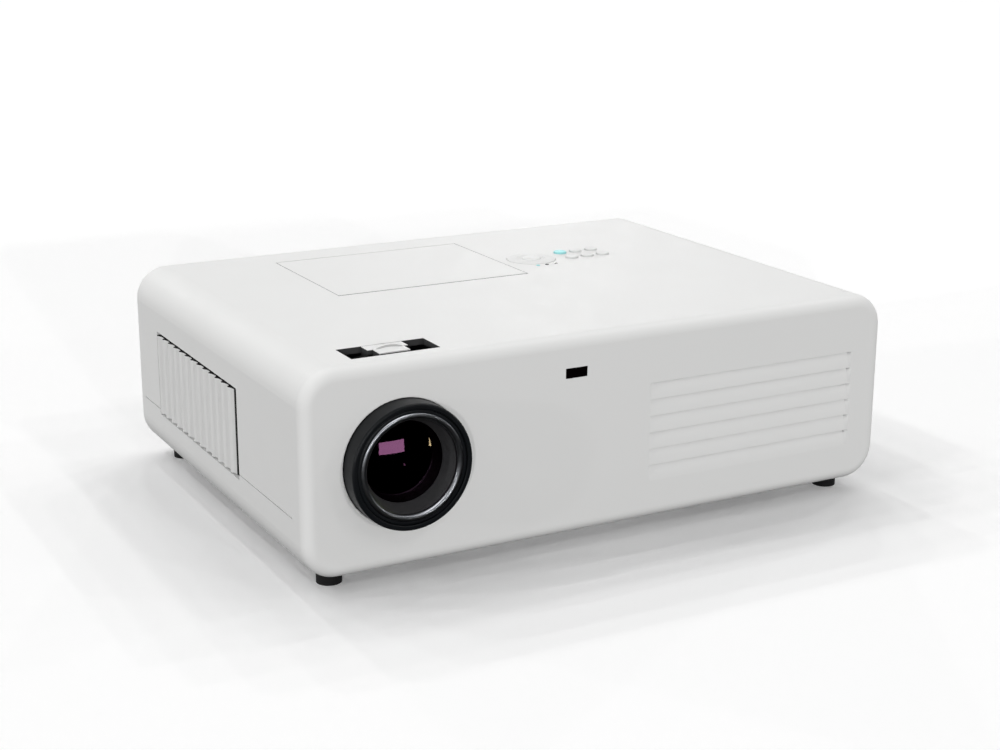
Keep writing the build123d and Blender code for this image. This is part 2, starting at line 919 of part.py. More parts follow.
def front_lens():
    r = glass_r + glass_seat - fit_gap
    y0 = glass_back
    edge = glass_r - fit_gap
    sphere_r = (edge ** 2 + glass_crown ** 2) / (2 * glass_crown)
    half_sag = sphere_r - math.sqrt(sphere_r ** 2 - edge ** 2 / 4)
    tip = y0 - glass_crown
    outline = [
        Line((r, y0), (edge, y0)),
        ThreePointArc((edge, y0), (edge / 2, tip + half_sag), (0, tip)),
        Polyline((0, tip), (0, y0 + front_glass_t), (r, y0 + front_glass_t), (r, y0)),
    ]
    return turned_about_lens(outline)


def lens_ring(y0, y1, shield_y0, shield_y1):
    """Ring that turns on the tube, with an arm and a curved shield that closes the slot."""
    r = tube_r - tube_step + run_gap
    ring = rod_y(lens_x, lens_z, r + ring_wall, back(y0), back(y1))
    ring -= rod_y(lens_x, lens_z, r, back(y0), back(y1))
    arm_r = shield_r - shield_t / 2
    arm = arc_plate(arm_r, arm_r - r - ring_wall / 2, arm_half_deg, back(y0), back(y1))
    return ring + arm + arc_plate(shield_r, shield_t, shield_half_deg, back(shield_y0), back(shield_y1))


def ring_split():
    return focus_tab_back + gap / 2


def focus_ring():
    return lens_ring(focus_tab_front, ring_split() - gap / 2, slot_front - gap, ring_split() - gap / 2)


def zoom_ring():
    return lens_ring(ring_split() + gap / 2, slot_back - gap, ring_split() + gap / 2, slot_back + gap)


def tab_block(w, y0, y1, z1=top_z):
    x = lens_x + tab_shift
    seat = rod_y(lens_x, lens_z, shield_r + fit_gap, back(y0) - 1, back(y1) + 1)
    z0 = lens_z + shield_r - tab_root
    return block((x - w / 2, x + w / 2), (back(y0), back(y1)), (z0, z1)) - seat


def focus_tab():
    """Lever with a pad that is crowned both ways."""
    half_w = focus_tab_w / 2
    sagitta = focus_tab_dome_r - math.sqrt(focus_tab_dome_r ** 2 - half_w ** 2)
    peak = top_z + focus_tab_rim + sagitta
    middle = Pos(lens_x + tab_shift, back((focus_tab_front + focus_tab_back) / 2), peak - focus_tab_dome_r)
    crown = middle * Rot(90, 0, 0) * Torus(focus_tab_dome_r - focus_tab_crown_r, focus_tab_crown_r)
    return tab_block(focus_tab_w, focus_tab_front, focus_tab_back, peak) & crown


def zoom_tab():
    return tab_block(zoom_tab_w, ring_split() + gap / 2, slot_back - lining_t - gap)


def slot_lining():
    ys = (back(slot_front), back(slot_back))
    z0 = under_top_z - lining_flange_t
    lining_y = (ys[0] + fit_gap, ys[1] - fit_gap)
    outer = block((slot_x0 + fit_gap, slot_x1 - fit_gap), lining_y, (z0, top_z - lining_sink))
    f = lining_flange
    outer += block((slot_x0 - f, slot_x1 + f), (ys[0] - f, ys[1] + f), (z0, under_top_z))
    t = lining_t
    return outer - block((slot_x0 + t, slot_x1 - t), (ys[0] + t, ys[1] - t), (z0 - 1, top_z + 1))


def zoom_carrier():
    r = tube_r - tube_wall - run_gap
    y0, y1 = back(zoom_group_at), back(zoom_group_at + zoom_group_len)
    hole = rod_y(lens_x, lens_z, zoom_glass_r + fit_gap, y0 - 1, y1 + 1)
    return rod_y(lens_x, lens_z, r, y0, y1) - hole


def zoom_lens():
    tip0, tip1 = zoom_group_at, zoom_group_at + zoom_group_len
    rim0, rim1 = tip0 + lens_bulge, tip1 - lens_bulge
    outline = [
        Spline((0, tip0), (zoom_glass_r, rim0), tangents=[(1, 0), (zoom_glass_r, 2 * lens_bulge)]),
        Line((zoom_glass_r, rim0), (zoom_glass_r, rim1)),
        Spline((zoom_glass_r, rim1), (0, tip1), tangents=[(-zoom_glass_r, 2 * lens_bulge), (-1, 0)]),
        Line((0, tip1), (0, tip0)),
    ]
    return turned_about_lens(outline)


def optics_x():
    return lens_x - flange_w / 2, left_x + optics_right


def optics_housing():
    x0, x1 = optics_x()
    ys = (back(lens_back), back(optics_back))
    t = optics_wall
    tray = block((x0, x1), ys, (deck_z, deck_z + optics_h))
    tray -= block((x0 + t, x1 - t), (ys[0] + t, ys[1] - t), (deck_z + t, deck_z + optics_h + 1))
    tray -= rod_y(lens_x, lens_z, rear_glass_r + rear_glass_clear, ys[0] - 1, ys[0] + t + 1)
    tray -= rod_y(lamp_axis_x, lens_z, light_window_r, ys[1] - t - 1, ys[1] + 1)
    reach = prism_w / 2 + panel_gap + panel_t + prism_seat_edge
    y = prism_centre_y()
    seat_y = (y - prism_w / 2, y + reach)
    return tray + block((lens_x - reach, lens_x + reach), seat_y, (deck_z + t, lens_z - prism_w / 2))


def prism_centre_y():
    return back((lens_back + optics_back) / 2)


def colour_prism():
    h = prism_w / 2
    y = prism_centre_y()
    return block((lens_x - h, lens_x + h), (y - h, y + h), (lens_z - h, lens_z + h))


def liquid_crystal_panels():
    h = prism_w / 2
    y = prism_centre_y()
    near, far = h + panel_gap, h + panel_gap + panel_t
    zs = (lens_z - h, lens_z - h + panel_w)
    w = panel_w / 2
    return [
        block((lens_x - far, lens_x - near), (y - w, y + w), zs),
        block((lens_x + near, lens_x + far), (y - w, y + w), zs),
        block((lens_x - w, lens_x + w), (y + near, y + far), zs),
    ]


def light_mirrors():
    plates = []
    y = prism_centre_y()
    z = deck_z + optics_wall + mirror_w / 2
    for i in range(2):
        plate = Box(mirror_t, mirror_w, mirror_w)
        plates.append(Pos(lamp_axis_x - i * mirror_pitch, y, z) * Rot(0, 0, mirror_deg) * plate)
    return plates


def lamp_box_y():
    y0 = back(lamp_cover_front) + (lamp_cover_len - lamp_box_len) / 2
    return y0, y0 + lamp_box_len


def lamp_housing():
    y0, y1 = lamp_box_y()
    h = lamp_box_w / 2
    t = lamp_box_wall
    xs = (lamp_axis_x - h, lamp_axis_x + h)
    box = block(xs, (y0, y1), (deck_z, deck_z + lamp_box_h))
    box -= block((xs[0] + t, xs[1] - t), (y0 + t, y1 - t), (deck_z + t, deck_z + lamp_box_h + 1))
    box -= rod_y(lamp_axis_x, lens_z, lamp_window_r, y0 - 1, y0 + t + 1)
    web_top = lens_z + reflector_r + lamp_web_t
    web = block((xs[0] + t, xs[1] - t), (y0 + t, y0 + t + lamp_web_t), (deck_z + t, web_top))
    box += web - rod_y(lamp_axis_x, lens_z, reflector_r + fit_gap, y0, y0 + t + lamp_web_t + 1)
    for i in range(lamp_vent_count):
        z = deck_z + lamp_vent_bottom + i * lamp_vent_pitch
        vent_y = (y0 + lamp_vent_front, y1 - lamp_vent_rear)
        box -= block((xs[0] - 1, xs[0] + t + 1), vent_y, (z, z + lamp_vent_h))
    return box


def lamp_reflector():
    """Bowl whose mouth stands at the lamp housing's front window."""
    y0 = lamp_box_y()[0] + lamp_box_wall - front_y
    mouth, depth, t = reflector_r, reflector_depth, reflector_t
    neck = burner_r + reflector_neck_gap
    neck_y0, neck_y1 = y0 + depth, y0 + depth + reflector_neck_len
    waist_r, waist_y = mouth * reflector_waist, y0 + depth * reflector_waist_depth
    outline = [
        ThreePointArc((mouth - t, y0), (waist_r, waist_y), (neck, neck_y0 - t)),
        Polyline((neck, neck_y0 - t), (neck, neck_y1), (neck + t, neck_y1), (neck + t, neck_y0)),
        ThreePointArc((neck + t, neck_y0), (waist_r + t, waist_y + t), (mouth, y0 + reflector_rim)),
        Polyline((mouth, y0 + reflector_rim), (mouth, y0), (mouth - t, y0)),
    ]
    bowl = turned_about_lens(outline)
    return Pos(lamp_axis_x - lens_x, 0, 0) * bowl


def lamp_burner():
    y1 = lamp_box_y()[0] + lamp_box_wall + reflector_depth + reflector_neck_len
    tube = rod_y(lamp_axis_x, lens_z, burner_r, y1 - burner_len, y1)
    cap_r = burner_r + reflector_neck_gap + reflector_t
    return tube + rod_y(lamp_axis_x, lens_z, cap_r, y1, y1 + burner_cap_len)


def fan_frame():
    """Fan frame about the origin, its axis along Z, with a spoked hub seat at its back."""
    frame = Box(fan_w, fan_w, fan_t) - Cylinder(fan_hole_r, fan_t + 1)
    z = (fan_spoke_t - fan_t) / 2
    frame += Pos(0, 0, z) * Cylinder(fan_hub_r, fan_spoke_t)
    for turn in (fan_spoke_deg, fan_spoke_deg + 90):
        frame += Pos(0, 0, z) * Rot(0, 0, turn) * Box(2 * fan_hole_r + 2, fan_spoke_w, fan_spoke_t)
    frame -= Pos(0, 0, z) * Cylinder(fan_shaft_r + fit_gap, fan_spoke_t + 1)
    corner = fan_w / 2 - fan_screw_inset
    for x in (-corner, corner):
        for y in (-corner, corner):
            frame -= Pos(x, y, 0) * Cylinder(fan_screw_r, fan_t + 1)
    return frame


def fan_rotor():
    """Hub with its shaft and tilted blades, to run in fan_frame."""
    z0 = -fan_t / 2 + fan_spoke_t + gap
    z1 = fan_t / 2 - fan_front_gap
    rotor = Pos(0, 0, (z0 + z1) / 2) * Cylinder(fan_hub_r, z1 - z0)
    rotor += Pos(0, 0, (z0 - fan_t / 2) / 2) * Cylinder(fan_shaft_r, z0 + fan_t / 2)
    reach = fan_hole_r - fan_blade_gap
    length = reach - fan_hub_r + fan_blade_root
    middle = reach - length / 2
    blade = Rot(fan_blade_deg, 0, 0) * Box(length, 2 * (z1 - z0), fan_blade_t)
    sweep_zone = Pos(0, 0, (z0 + z1) / 2) * Cylinder(reach, z1 - z0)
    for i in range(fan_blade_count):
        turn = i * 360 / fan_blade_count
        rotor += (Rot(0, 0, turn) * Pos(middle, 0, (z0 + z1) / 2) * blade) & sweep_zone
    return rotor


def exhaust_fan_x():
    return left_x + wall + grille_flange_t + fan_wall_gap + fan_t / 2


def exhaust_place():
    return Pos(exhaust_fan_x(), back(exhaust_fan_at) + fan_w / 2, deck_z + fan_w / 2) * Rot(0, -90, 0)


def intake_place():
    return Pos(intake_fan_x, back(intake_fan_at) + fan_t / 2, deck_z + fan_w / 2) * Rot(90, 0, 0)


def power_board_x():
    return lamp_screw_place()[0] + screw_post_r + board_post_gap, boards_x1


def power_board_y():
    return back(power_board_at), back(power_board_at) + power_board_len


def power_board():
    """Board with a transformer, a heat sink and as many capacitors as there is room for."""
    xs, ys = power_board_x(), power_board_y()
    z = deck_z + board_t
    board = block(xs, ys, (deck_z, z))
    x = xs[0] + transformer_inset_x
    y = ys[0] + transformer_inset_y
    board += block((x, x + transformer_w), (y, y + transformer_len), (z, z + transformer_h))
    x += transformer_w + heat_sink_gap
    sink_y = (ys[0] + heat_sink_inset, ys[1] - heat_sink_inset)
    board += block((x, x + heat_sink_t), sink_y, (z, z + heat_sink_h))
    x += heat_sink_t + capacitor_gap + capacitor_r
    for i in range(int((xs[1] - x - capacitor_r) / capacitor_pitch) + 1):
        centre = (x + i * capacitor_pitch, (ys[0] + ys[1]) / 2)
        board += rod_z(*centre, capacitor_r, z, z + capacitor_h)
    return board


def main_board_y():
    y1 = terminal_wall_y - wall - board_rear_gap
    return y1 - main_board_len, y1


def main_board():
    """Board with a cooled processor and a row of memory chips."""
    ys = main_board_y()
    z = main_board_z + board_t
    board = block((main_board_x0(), boards_x1), ys, (main_board_z, z))
    x = boards_x1 - processor_inset_x
    y = ys[0] + processor_inset_y
    board += block((x - processor_w, x), (y, y + processor_w), (z, z + processor_h))
    y = ys[0] + chip_inset_y
    for i in range(chip_count):
        x = boards_x1 - chip_inset_x - i * chip_pitch
        board += block((x - chip_w, x), (y, y + chip_len), (z, z + chip_h))
    for x, y in screw_places():
        board -= rod_z(x, y, screw_post_r + 1, main_board_z - 1, z + 1)
    return board


def main_board_posts():
    ys = main_board_y()
    for x in (main_board_x0() + post_inset, boards_x1 - post_inset):
        for y in (ys[0] + post_inset, ys[1] - main_post_rear):
            yield x, y


def ballast_x():
    x1 = boards_x1 - ballast_side_gap
    return x1 - ballast_w, x1


def ballast_y():
    y1 = main_board_y()[1] - inlet_deep - ballast_rear_gap
    return y1 - ballast_len, y1


def lamp_ballast():
    return block(ballast_x(), ballast_y(), (deck_z, deck_z + ballast_h))


def speaker():
    x1 = right_x - wall
    y0 = back(speaker_at)
    return block((x1 - speaker_w, x1), (y0, y0 + speaker_len), (speaker_z, speaker_z + speaker_h))


def posts_under(xs, ys, inset=post_inset):
    for x in (xs[0] + inset, xs[1] - inset):
        for y in (ys[0] + inset, ys[1] - inset):
            yield x, y


def deck_posts():
    """Places of the low posts that carry the parts inside."""
    places = list(posts_under(optics_x(), (back(lens_back), back(optics_back))))
    half = lamp_box_w / 2
    places += posts_under((lamp_axis_x - half, lamp_axis_x + half), lamp_box_y())
    x, y = exhaust_fan_x(), back(exhaust_fan_at) + fan_w / 2
    reach = fan_w / 2 - fan_post_inset
    places += [(x, y - reach), (x, y + reach)]
    y = back(intake_fan_at) + fan_t / 2
    places += [(intake_fan_x - reach, y), (intake_fan_x + reach, y)]
    places += posts_under(power_board_x(), power_board_y())
    places += posts_under(ballast_x(), ballast_y(), ballast_post_inset)
    return places


def key_board_x():
    xs = [x for x, y in key_places()]
    return keys_x - nav_r - key_board_margin, max(xs) + key_r + key_board_margin


def key_board_y():
    ys = [y for x, y in pip_places()]
    return min(ys) - key_board_margin, back(keys_y) + nav_r + key_board_margin


def key_board_posts():
    return posts_under(key_board_x(), key_board_y(), key_board_post_inset)


def key_board():
    return block(key_board_x(), key_board_y(), (key_board_z - board_t, key_board_z))


def key(x, y):
    """Round key with a soft edge, a flange under the cover and a stem above the key board."""
    r = key_r
    cap = rod_z(x, y, r, under_top_z - key_flange_t, top_z + key_rise)
    rim = cap.edges().filter_by(GeomType.CIRCLE).sort_by(Axis.Z)[-1]
    cap = fillet(rim, key_round)
    cap += rod_z(x, y, key_flange_r, under_top_z - key_flange_t, under_top_z)
    return cap + rod_z(x, y, key_stem_r, key_board_z + key_travel + key_stop_gap, under_top_z)


def enter_button():
    cap = rod_z(keys_x, back(keys_y), enter_r, key_board_z + key_travel + key_stop_gap, top_z + key_rise)
    rim = cap.edges().filter_by(GeomType.CIRCLE).sort_by(Axis.Z)[-1]
    return fillet(rim, key_round)


def navigation_ring():
    crest = (nav_crease_r + nav_crease_w, nav_rise)
    crease = (nav_crease_r, nav_rise - nav_crease_deep)
    outer = [(nav_r, -nav_skirt), (nav_r, nav_rim_rise)]
    inner = [(nav_inner_r, nav_inner_rise), (nav_inner_r, -nav_skirt)]
    return turned_about_z(keys_x, back(keys_y), top_z, polygon([*outer, crest, crease, *inner]))


def navigation_pivot():
    z0 = key_board_z + pivot_gap
    z1 = top_z - nav_skirt - pivot_gap
    x, y = keys_x, back(keys_y)
    return rod_z(x, y, pivot_r, z0, z1) - rod_z(x, y, enter_r + pivot_gap, z0 - 1, z1 + 1)


def indicator(place):
    x, y = place
    return rod_z(x, y, pip_r, key_board_z, top_z + pip_rise)


def rear_feet():
    feet = []
    for x, y in feet_places():
        if y > mid_y:
            feet.append(rod_z(x, y, foot_r, 0, foot_h + foot_pocket))
    return feet


def foot_pad(x):
    y = back(foot_inset_y)
    pad = rod_z(x, y, foot_r, 0, foot_h + foot_pocket)
    return pad - rod_z(x, y, foot_screw_r + fit_gap, foot_sole, foot_h + foot_pocket + 1)


def foot_screw(x):
    z1 = floor_z + foot_boss_h - foot_screw_short
    return rod_z(x, back(foot_inset_y), foot_screw_r, foot_sole + gap, z1)


def case_screws():
    screws = []
    for x, y in screw_places():
        head = rod_z(x, y, screw_head_r, foot_h + screw_head_sink, foot_h + screw_head_h)
        shank = rod_z(x, y, screw_r, foot_h + screw_head_h, up(split_h) + screw_grip)
        screw = head + shank
        for turn in (0, 90):
            arm = Rot(0, 0, turn) * Box(screw_cross_w, screw_cross_t, 2 * screw_cross_deep)
            screw -= Pos(x, y, foot_h + screw_head_sink) * arm
        screws.append(screw)
    return screws


def mount_inserts():
    inserts = []
    for x, y in insert_places():
        z1 = insert_top_z()
        body = rod_z(x, y, insert_r, foot_h, z1)
        inserts.append(body - rod_z(x, y, insert_bore_r, foot_h - 1, z1 - insert_end_t))
    return inserts


def build_parts():
    """Every piece by its node's name."""
    keys = list(key_places())
    pips = list(pip_places())
    parts = {
        "top_cover": top_cover(),
        "bottom_cover": bottom_cover(),
        "front_panel": front_panel(),
        "rear_panel": rear_panel(),
        "side_grille": side_grille(),
        "lamp_cover": lamp_cover(),
        "remote_window": remote_window(),
        "filter_foam": filter_foam(),
        "lens_tube": lens_tube(),
        "rear_lens": rear_lens(),
        "focus_barrel": focus_barrel(),
        "chrome_ring": chrome_ring(),
        "front_lens": front_lens(),
        "focus_ring": focus_ring(),
        "focus_tab": focus_tab(),
        "zoom_ring": zoom_ring(),
        "zoom_tab": zoom_tab(),
        "zoom_carrier": zoom_carrier(),
        "zoom_lens": zoom_lens(),
        "slot_lining": slot_lining(),
        "optics_housing": optics_housing(),
        "colour_prism": colour_prism(),
        "liquid_crystal_panels": liquid_crystal_panels(),
        "light_mirrors": light_mirrors(),
        "lamp_housing": lamp_housing(),
        "lamp_reflector": lamp_reflector(),
        "lamp_burner": lamp_burner(),
        "exhaust_fan_frame": exhaust_place() * fan_frame(),
        "exhaust_fan_rotor": exhaust_place() * fan_rotor(),
        "intake_fan_frame": intake_place() * fan_frame(),
        "intake_fan_rotor": intake_place() * fan_rotor(),
        "main_board": main_board(),
        "power_board": power_board(),
        "lamp_ballast": lamp_ballast(),
        "speaker": speaker(),
        "key_board": key_board(),
        "power_button": key(*keys[0]),
        "enter_button": enter_button(),
        "navigation_ring": navigation_ring(),
        "navigation_pivot": navigation_pivot(),
        "power_indicator": indicator(pips[0]),
        "warning_indicators": [indicator(pip) for pip in pips[1:]],
        "ac_inlet": ac_inlet(),
        "ac_inlet_pins": inlet_pins(0),
        "computer_sockets": computer_sockets(),
        "socket_inserts": socket_inserts(),
        "round_jacks": round_jacks(),
        "network_socket": network_socket(),
        "rear_feet": rear_feet(),
        "left_foot_pad": foot_pad(left_x + foot_inset_x),
        "left_foot_screw": foot_screw(left_x + foot_inset_x),
        "right_foot_pad": foot_pad(right_x - foot_inset_x),
        "right_foot_screw": foot_screw(right_x - foot_inset_x),
        "case_screws": case_screws(),
        "mount_inserts": mount_inserts(),
    }
    for number, place in enumerate(keys[1:], start=1):
        parts[f"menu_button_{number}"] = key(*place)
    return parts


os.makedirs("parts", exist_ok=True)
for name, shape in build_parts().items():
    solids = shape if isinstance(shape, list) else [shape]
    single = [solid for piece in solids for solid in piece.solids()]
    export_step(single[0] if len(single) == 1 else Compound(children=single), f"parts/{name}.step")
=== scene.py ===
import json
import math

import bmesh
import bpy
from mathutils import Matrix, Vector


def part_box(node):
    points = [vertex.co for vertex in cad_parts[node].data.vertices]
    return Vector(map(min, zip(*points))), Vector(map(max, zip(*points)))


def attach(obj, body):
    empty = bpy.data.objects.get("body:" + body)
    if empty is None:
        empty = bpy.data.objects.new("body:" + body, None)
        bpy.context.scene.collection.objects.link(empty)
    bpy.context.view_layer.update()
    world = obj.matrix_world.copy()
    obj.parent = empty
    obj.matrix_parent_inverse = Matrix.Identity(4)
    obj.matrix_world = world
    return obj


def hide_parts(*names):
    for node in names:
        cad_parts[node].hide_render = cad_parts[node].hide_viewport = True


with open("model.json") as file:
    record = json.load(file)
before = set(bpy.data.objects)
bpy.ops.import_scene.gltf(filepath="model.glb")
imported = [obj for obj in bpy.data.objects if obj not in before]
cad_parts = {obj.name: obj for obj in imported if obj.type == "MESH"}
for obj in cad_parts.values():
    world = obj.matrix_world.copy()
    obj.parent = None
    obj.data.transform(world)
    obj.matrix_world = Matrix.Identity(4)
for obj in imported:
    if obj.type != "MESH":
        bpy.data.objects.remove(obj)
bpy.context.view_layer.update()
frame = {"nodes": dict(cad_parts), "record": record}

# Sizes are in metres. X is across the casing, the lens looks along -Y and the table is at Z = 0.

MM = 0.001

# Camera, at the photograph's viewing angle
camera_place = (-0.5112, -0.9406, 0.3746)
camera_yaw = 28.449
camera_pitch = 16.173
camera_roll = 0.175
camera_lens = 63.813
camera_sensor = 36.0
camera_reach = 100.0

# Shaping
merge_distance = 1e-6
same_way = 0.9
same_place = 0.1 * MM
crease_angle = 30.0
soft_crease = 60.0
edge_angle = 40.0
edge_steps = 3

# Bezel ring of the lens
bezel_flat = 0.6
bezel_facets = 32
bezel_steps = 160

# Foam mat of the filter
mat_cells = 24
mat_rib = 0.7 * MM
mat_dimple = 0.8
mat_crease = 80.0
mat_round = 0.5 * MM

# Collars of the signal jacks, hexagons and wires of the sockets
jack_radius = 5.2 * MM
jack_bore = 1.7 * MM
jack_pitch = 13.0 * MM
collar_wall = 1.1 * MM
collar_depth = 1.6 * MM
collar_proud = 0.5 * MM
collar_facets = 64
collar_sink = 0.7
collar_round = 0.2 * MM
collar_rough = 0.35
collar_colours = (
    (0.75, 0.55, 0.02),
    (0.6, 0.02, 0.02),
    (0.8, 0.8, 0.78),
    (0.02, 0.2, 0.05),
    (0.015, 0.015, 0.016),
)
dsub_count = 3
dsub_out = 5.0 * MM
dsub_pitch = 27.0 * MM
dsub_half_w = 12.4 * MM
hex_radius = 2.3 * MM
hex_length = 4.0 * MM
hex_offset = 10.9 * MM
hex_rim = 0.2
hex_crown = 0.06
hex_wall = 0.22
hex_bore = 0.8
hex_round = 0.12 * MM
contact_count = 8
contact_pitch = 1.0 * MM
contact_width = 0.35 * MM
contact_length = 6.0 * MM
contact_inside = 4.5 * MM
contact_above = 1.0 * MM
contact_slope = 2.4 * MM
contact_tail = 1.5 * MM
contact_round = 0.08 * MM

# Front louvres, as the front panel has them, and the ramps at their ends
louvre_from_right = 22.4 * MM
louvre_top = 82.2 * MM
louvre_pitch = 9.87 * MM
louvre_count = 6
fin_lean = 2.4 * MM
fin_tuck = 0.8 * MM
ramp_run = 2.6 * MM
ramp_rows = 8
ramp_wall = 0.8 * MM
ramp_overlap = 0.05 * MM

# Finger pad of the focus lever
pad_columns = 16
pad_rows = 24
pad_rim = 0.3 * MM
pad_step = 1.2 * MM
pad_wall = 1.0 * MM
pad_root = 5.0 * MM
pad_round = 0.15 * MM
pad_crease = 50.0

# Bail of the lamp housing
handle_inset = 12.0 * MM
handle_foot = 14.0 * MM
handle_rise = 3.0 * MM
handle_wire = 1.3 * MM
handle_bend = 6.0 * MM
handle_facets = 6
handle_steps = 12

# Studio
floor_size = 60.0
floor_rough = 0.9
floor_seen = 1.0
floor_bounce = 0.12
floor_glow = 0.12
sky_strength = 0.1
lamp_softness = 0.8

# Arcs of lamps: elevation, first and last azimuth from the front towards the right, how many,
# and the strength of each
lamp_arcs = (
    (10.0, -35.0, 10.0, 4, 0.43),
    (10.0, 262.0, 278.0, 2, 0.36),
    (10.0, 90.0, 210.0, 5, 0.2),
    (16.0, 45.0, 75.0, 2, 0.08),
    (44.0, 0.0, 60.0, 3, 0.1),
    (46.0, 110.0, 285.0, 11, 0.11),
    (62.0, 90.0, 270.0, 9, 0.095),
)

# Cards that only mirrors and glass see: dark flags before the lens, two lights for the front glass
# and one for the bezel
flag_x = (-0.75, 3.2)
flag_y = -2.0
flag_z = (0.0, 2.4)
floor_flag_y = (-2.0, -0.15)
floor_flag_z = 0.003
glint_distance = 0.4
window_azimuth = (0.8, 22.6)
window_elevation = (-10.6, 0.7)
window_colour = (0.305, 0.27, 0.29)
spark_azimuth = (46.0, 66.0)
spark_elevation = (-22.0, 0.0)
spark_colour = (0.62, 0.95, 0.3)
bezel_azimuth = (-85.0, 25.0)
bezel_elevation = (35.0, 66.0)
bezel_colour = (0.055, 0.055, 0.055)
glass_glint = 42.0
bezel_glint = 150.0

# Finishes: linear colours, the depths at which they change, and moulding textures as their grain,
# relief, roughness and its spread
white_plastic = (0.865, 0.866, 0.858)
key_plastic = (0.868, 0.869, 0.862)
cyan_plastic = (0.4, 0.84, 0.86)
# Shielding paint inside the casing, also used as the painted shade of the grille
shielding_and_shade_grey = (0.005, 0.005, 0.0055)
black_plastic = (0.018, 0.018, 0.02)
tube_black = (0.007, 0.008, 0.0095)
hood_grey = (0.05, 0.05, 0.052)
slot_black = (0.045, 0.045, 0.046)
rubber_black = (0.008, 0.008, 0.0085)
indicator_black = (0.006, 0.006, 0.006)
window_black = (0.002, 0.001, 0.001)
glass_black = (0.002, 0.0018, 0.0022)
# Painted shade for the fronts of the lever caps
rim_shade_grey = (0.58, 0.58, 0.575)
tab_cap_t = 0.3 * MM
tab_facing = -0.5
board_green = (0.02, 0.12, 0.06)
# Painted shade for the walls of the gap round the lamp cover
seam_shade_grey = (0.22, 0.22, 0.22)
seam_reach = 1.0 * MM
seam_facing = 0.5
shell_wall = 2.5 * MM
shell_margin = 0.05 * MM
shell_round = 20.0 * MM
# Painted shade on the grille: deeper than this, at its top and at its front end
grille_shade_depth = 2.0 * MM
grille_shade_top = 6.8 * MM
grille_shade_front = 12.6 * MM
grille_facing = -0.4
hood_inner = 27.2 * MM
coated_index = 1.3
plastic_sheen = 0.12
plastic_spread = 0.06
cloud_span = (0.3, 0.7)
case_clouds = 45.0 * MM
case_moulding = (0.35 * MM, 0.012 * MM, 0.6, 0.05)
tab_moulding = (0.3 * MM, 0.01 * MM, 0.6, 0.05)
barrel_moulding = (0.25 * MM, 0.01 * MM, 0.42, 0.04)
cloud_grains = 60
shade_grains = 30
# Faint vertical streaks of painted shade on the slat faces
slat_grain = 1.4 * MM
slat_shade_streaks = (1.0, 1.0, 0.03)
brush_grain = 0.25 * MM
brush_relief = 0.01 * MM
brush_streaks = (1.0, 0.02, 1.0)
brush_gloss = (-0.08, 0.12)
ballast_grey = (0.6, 0.61, 0.62)
socket_grey = (0.68, 0.68, 0.66)
socket_ink = (0.02, 0.07, 0.35)
socket_dark = (0.015, 0.015, 0.016)
screw_grey = (0.5, 0.5, 0.51)
brass_yellow = (0.75, 0.55, 0.26)
chrome_light = (0.16, 0.165, 0.175)
chrome_dark = (0.13, 0.135, 0.145)
chrome_haze = 2.0 * MM
chrome_gloss = (0.28, 0.34)
lens_coating = (1.0, 0.42, 0.85)
inner_coating = (1.0, 0.5, 0.6)
panel_tint = (0.4, 0.42, 0.5)
panel_coating = (0.8, 0.8, 1.0)
glass_dust = 6.0 * MM
glass_dust_span = (0.4, 0.75)
glass_gloss = (0.015, 0.05)
mirror_silver = (0.88, 0.89, 0.9)
mirror_haze = 9.0 * MM
mirror_gloss = (0.02, 0.06)
quartz_clear = (0.93, 0.94, 0.95)
quartz_haze = 5.0 * MM
quartz_gloss = (0.05, 0.2)
foam_cell = 1.4 * MM
foam_strut = (0.05, 0.05, 0.055)
foam_hole = (0.004, 0.004, 0.004)
foam_hole_span = (0.05, 0.35)
foam_relief = 0.5 * MM
foam_rough = 0.95
board_scale = 160.0
board_stagger = 0.37
board_track = (0.05, 0.24, 0.11)
board_track_width = 0.04
board_track_edge = 0.1
board_relief = 0.05 * MM
board_haze = 8.0 * MM
board_gloss = (0.35, 0.5)


class Value:
    """A shader socket. Sums and comparisons on it add Math nodes."""

    def __init__(self, finish, socket):
        self.finish = finish
        self.socket = socket

    def math(self, operation, *values):
        inputs = dict(enumerate(values))
        return self.finish.node("ShaderNodeMath", {"operation": operation}, inputs)

    def __add__(self, other):
        return self.math("ADD", self, other)

    def __sub__(self, other):
        return self.math("SUBTRACT", self, other)

    def __rsub__(self, other):
        return self.math("SUBTRACT", other, self)

    def __mul__(self, other):
        return self.math("MULTIPLY", self, other)

    def __gt__(self, other):
        return self.math("GREATER_THAN", self, other)

    def __lt__(self, other):
        return self.math("LESS_THAN", self, other)

    __radd__ = __add__
    __rmul__ = __mul__

    def size(self):
        return self.math("ABSOLUTE", self)

    def at_least(self, other):
        return self.math("MAXIMUM", self, other)

    def root(self):
        return self.math("SQRT", self)


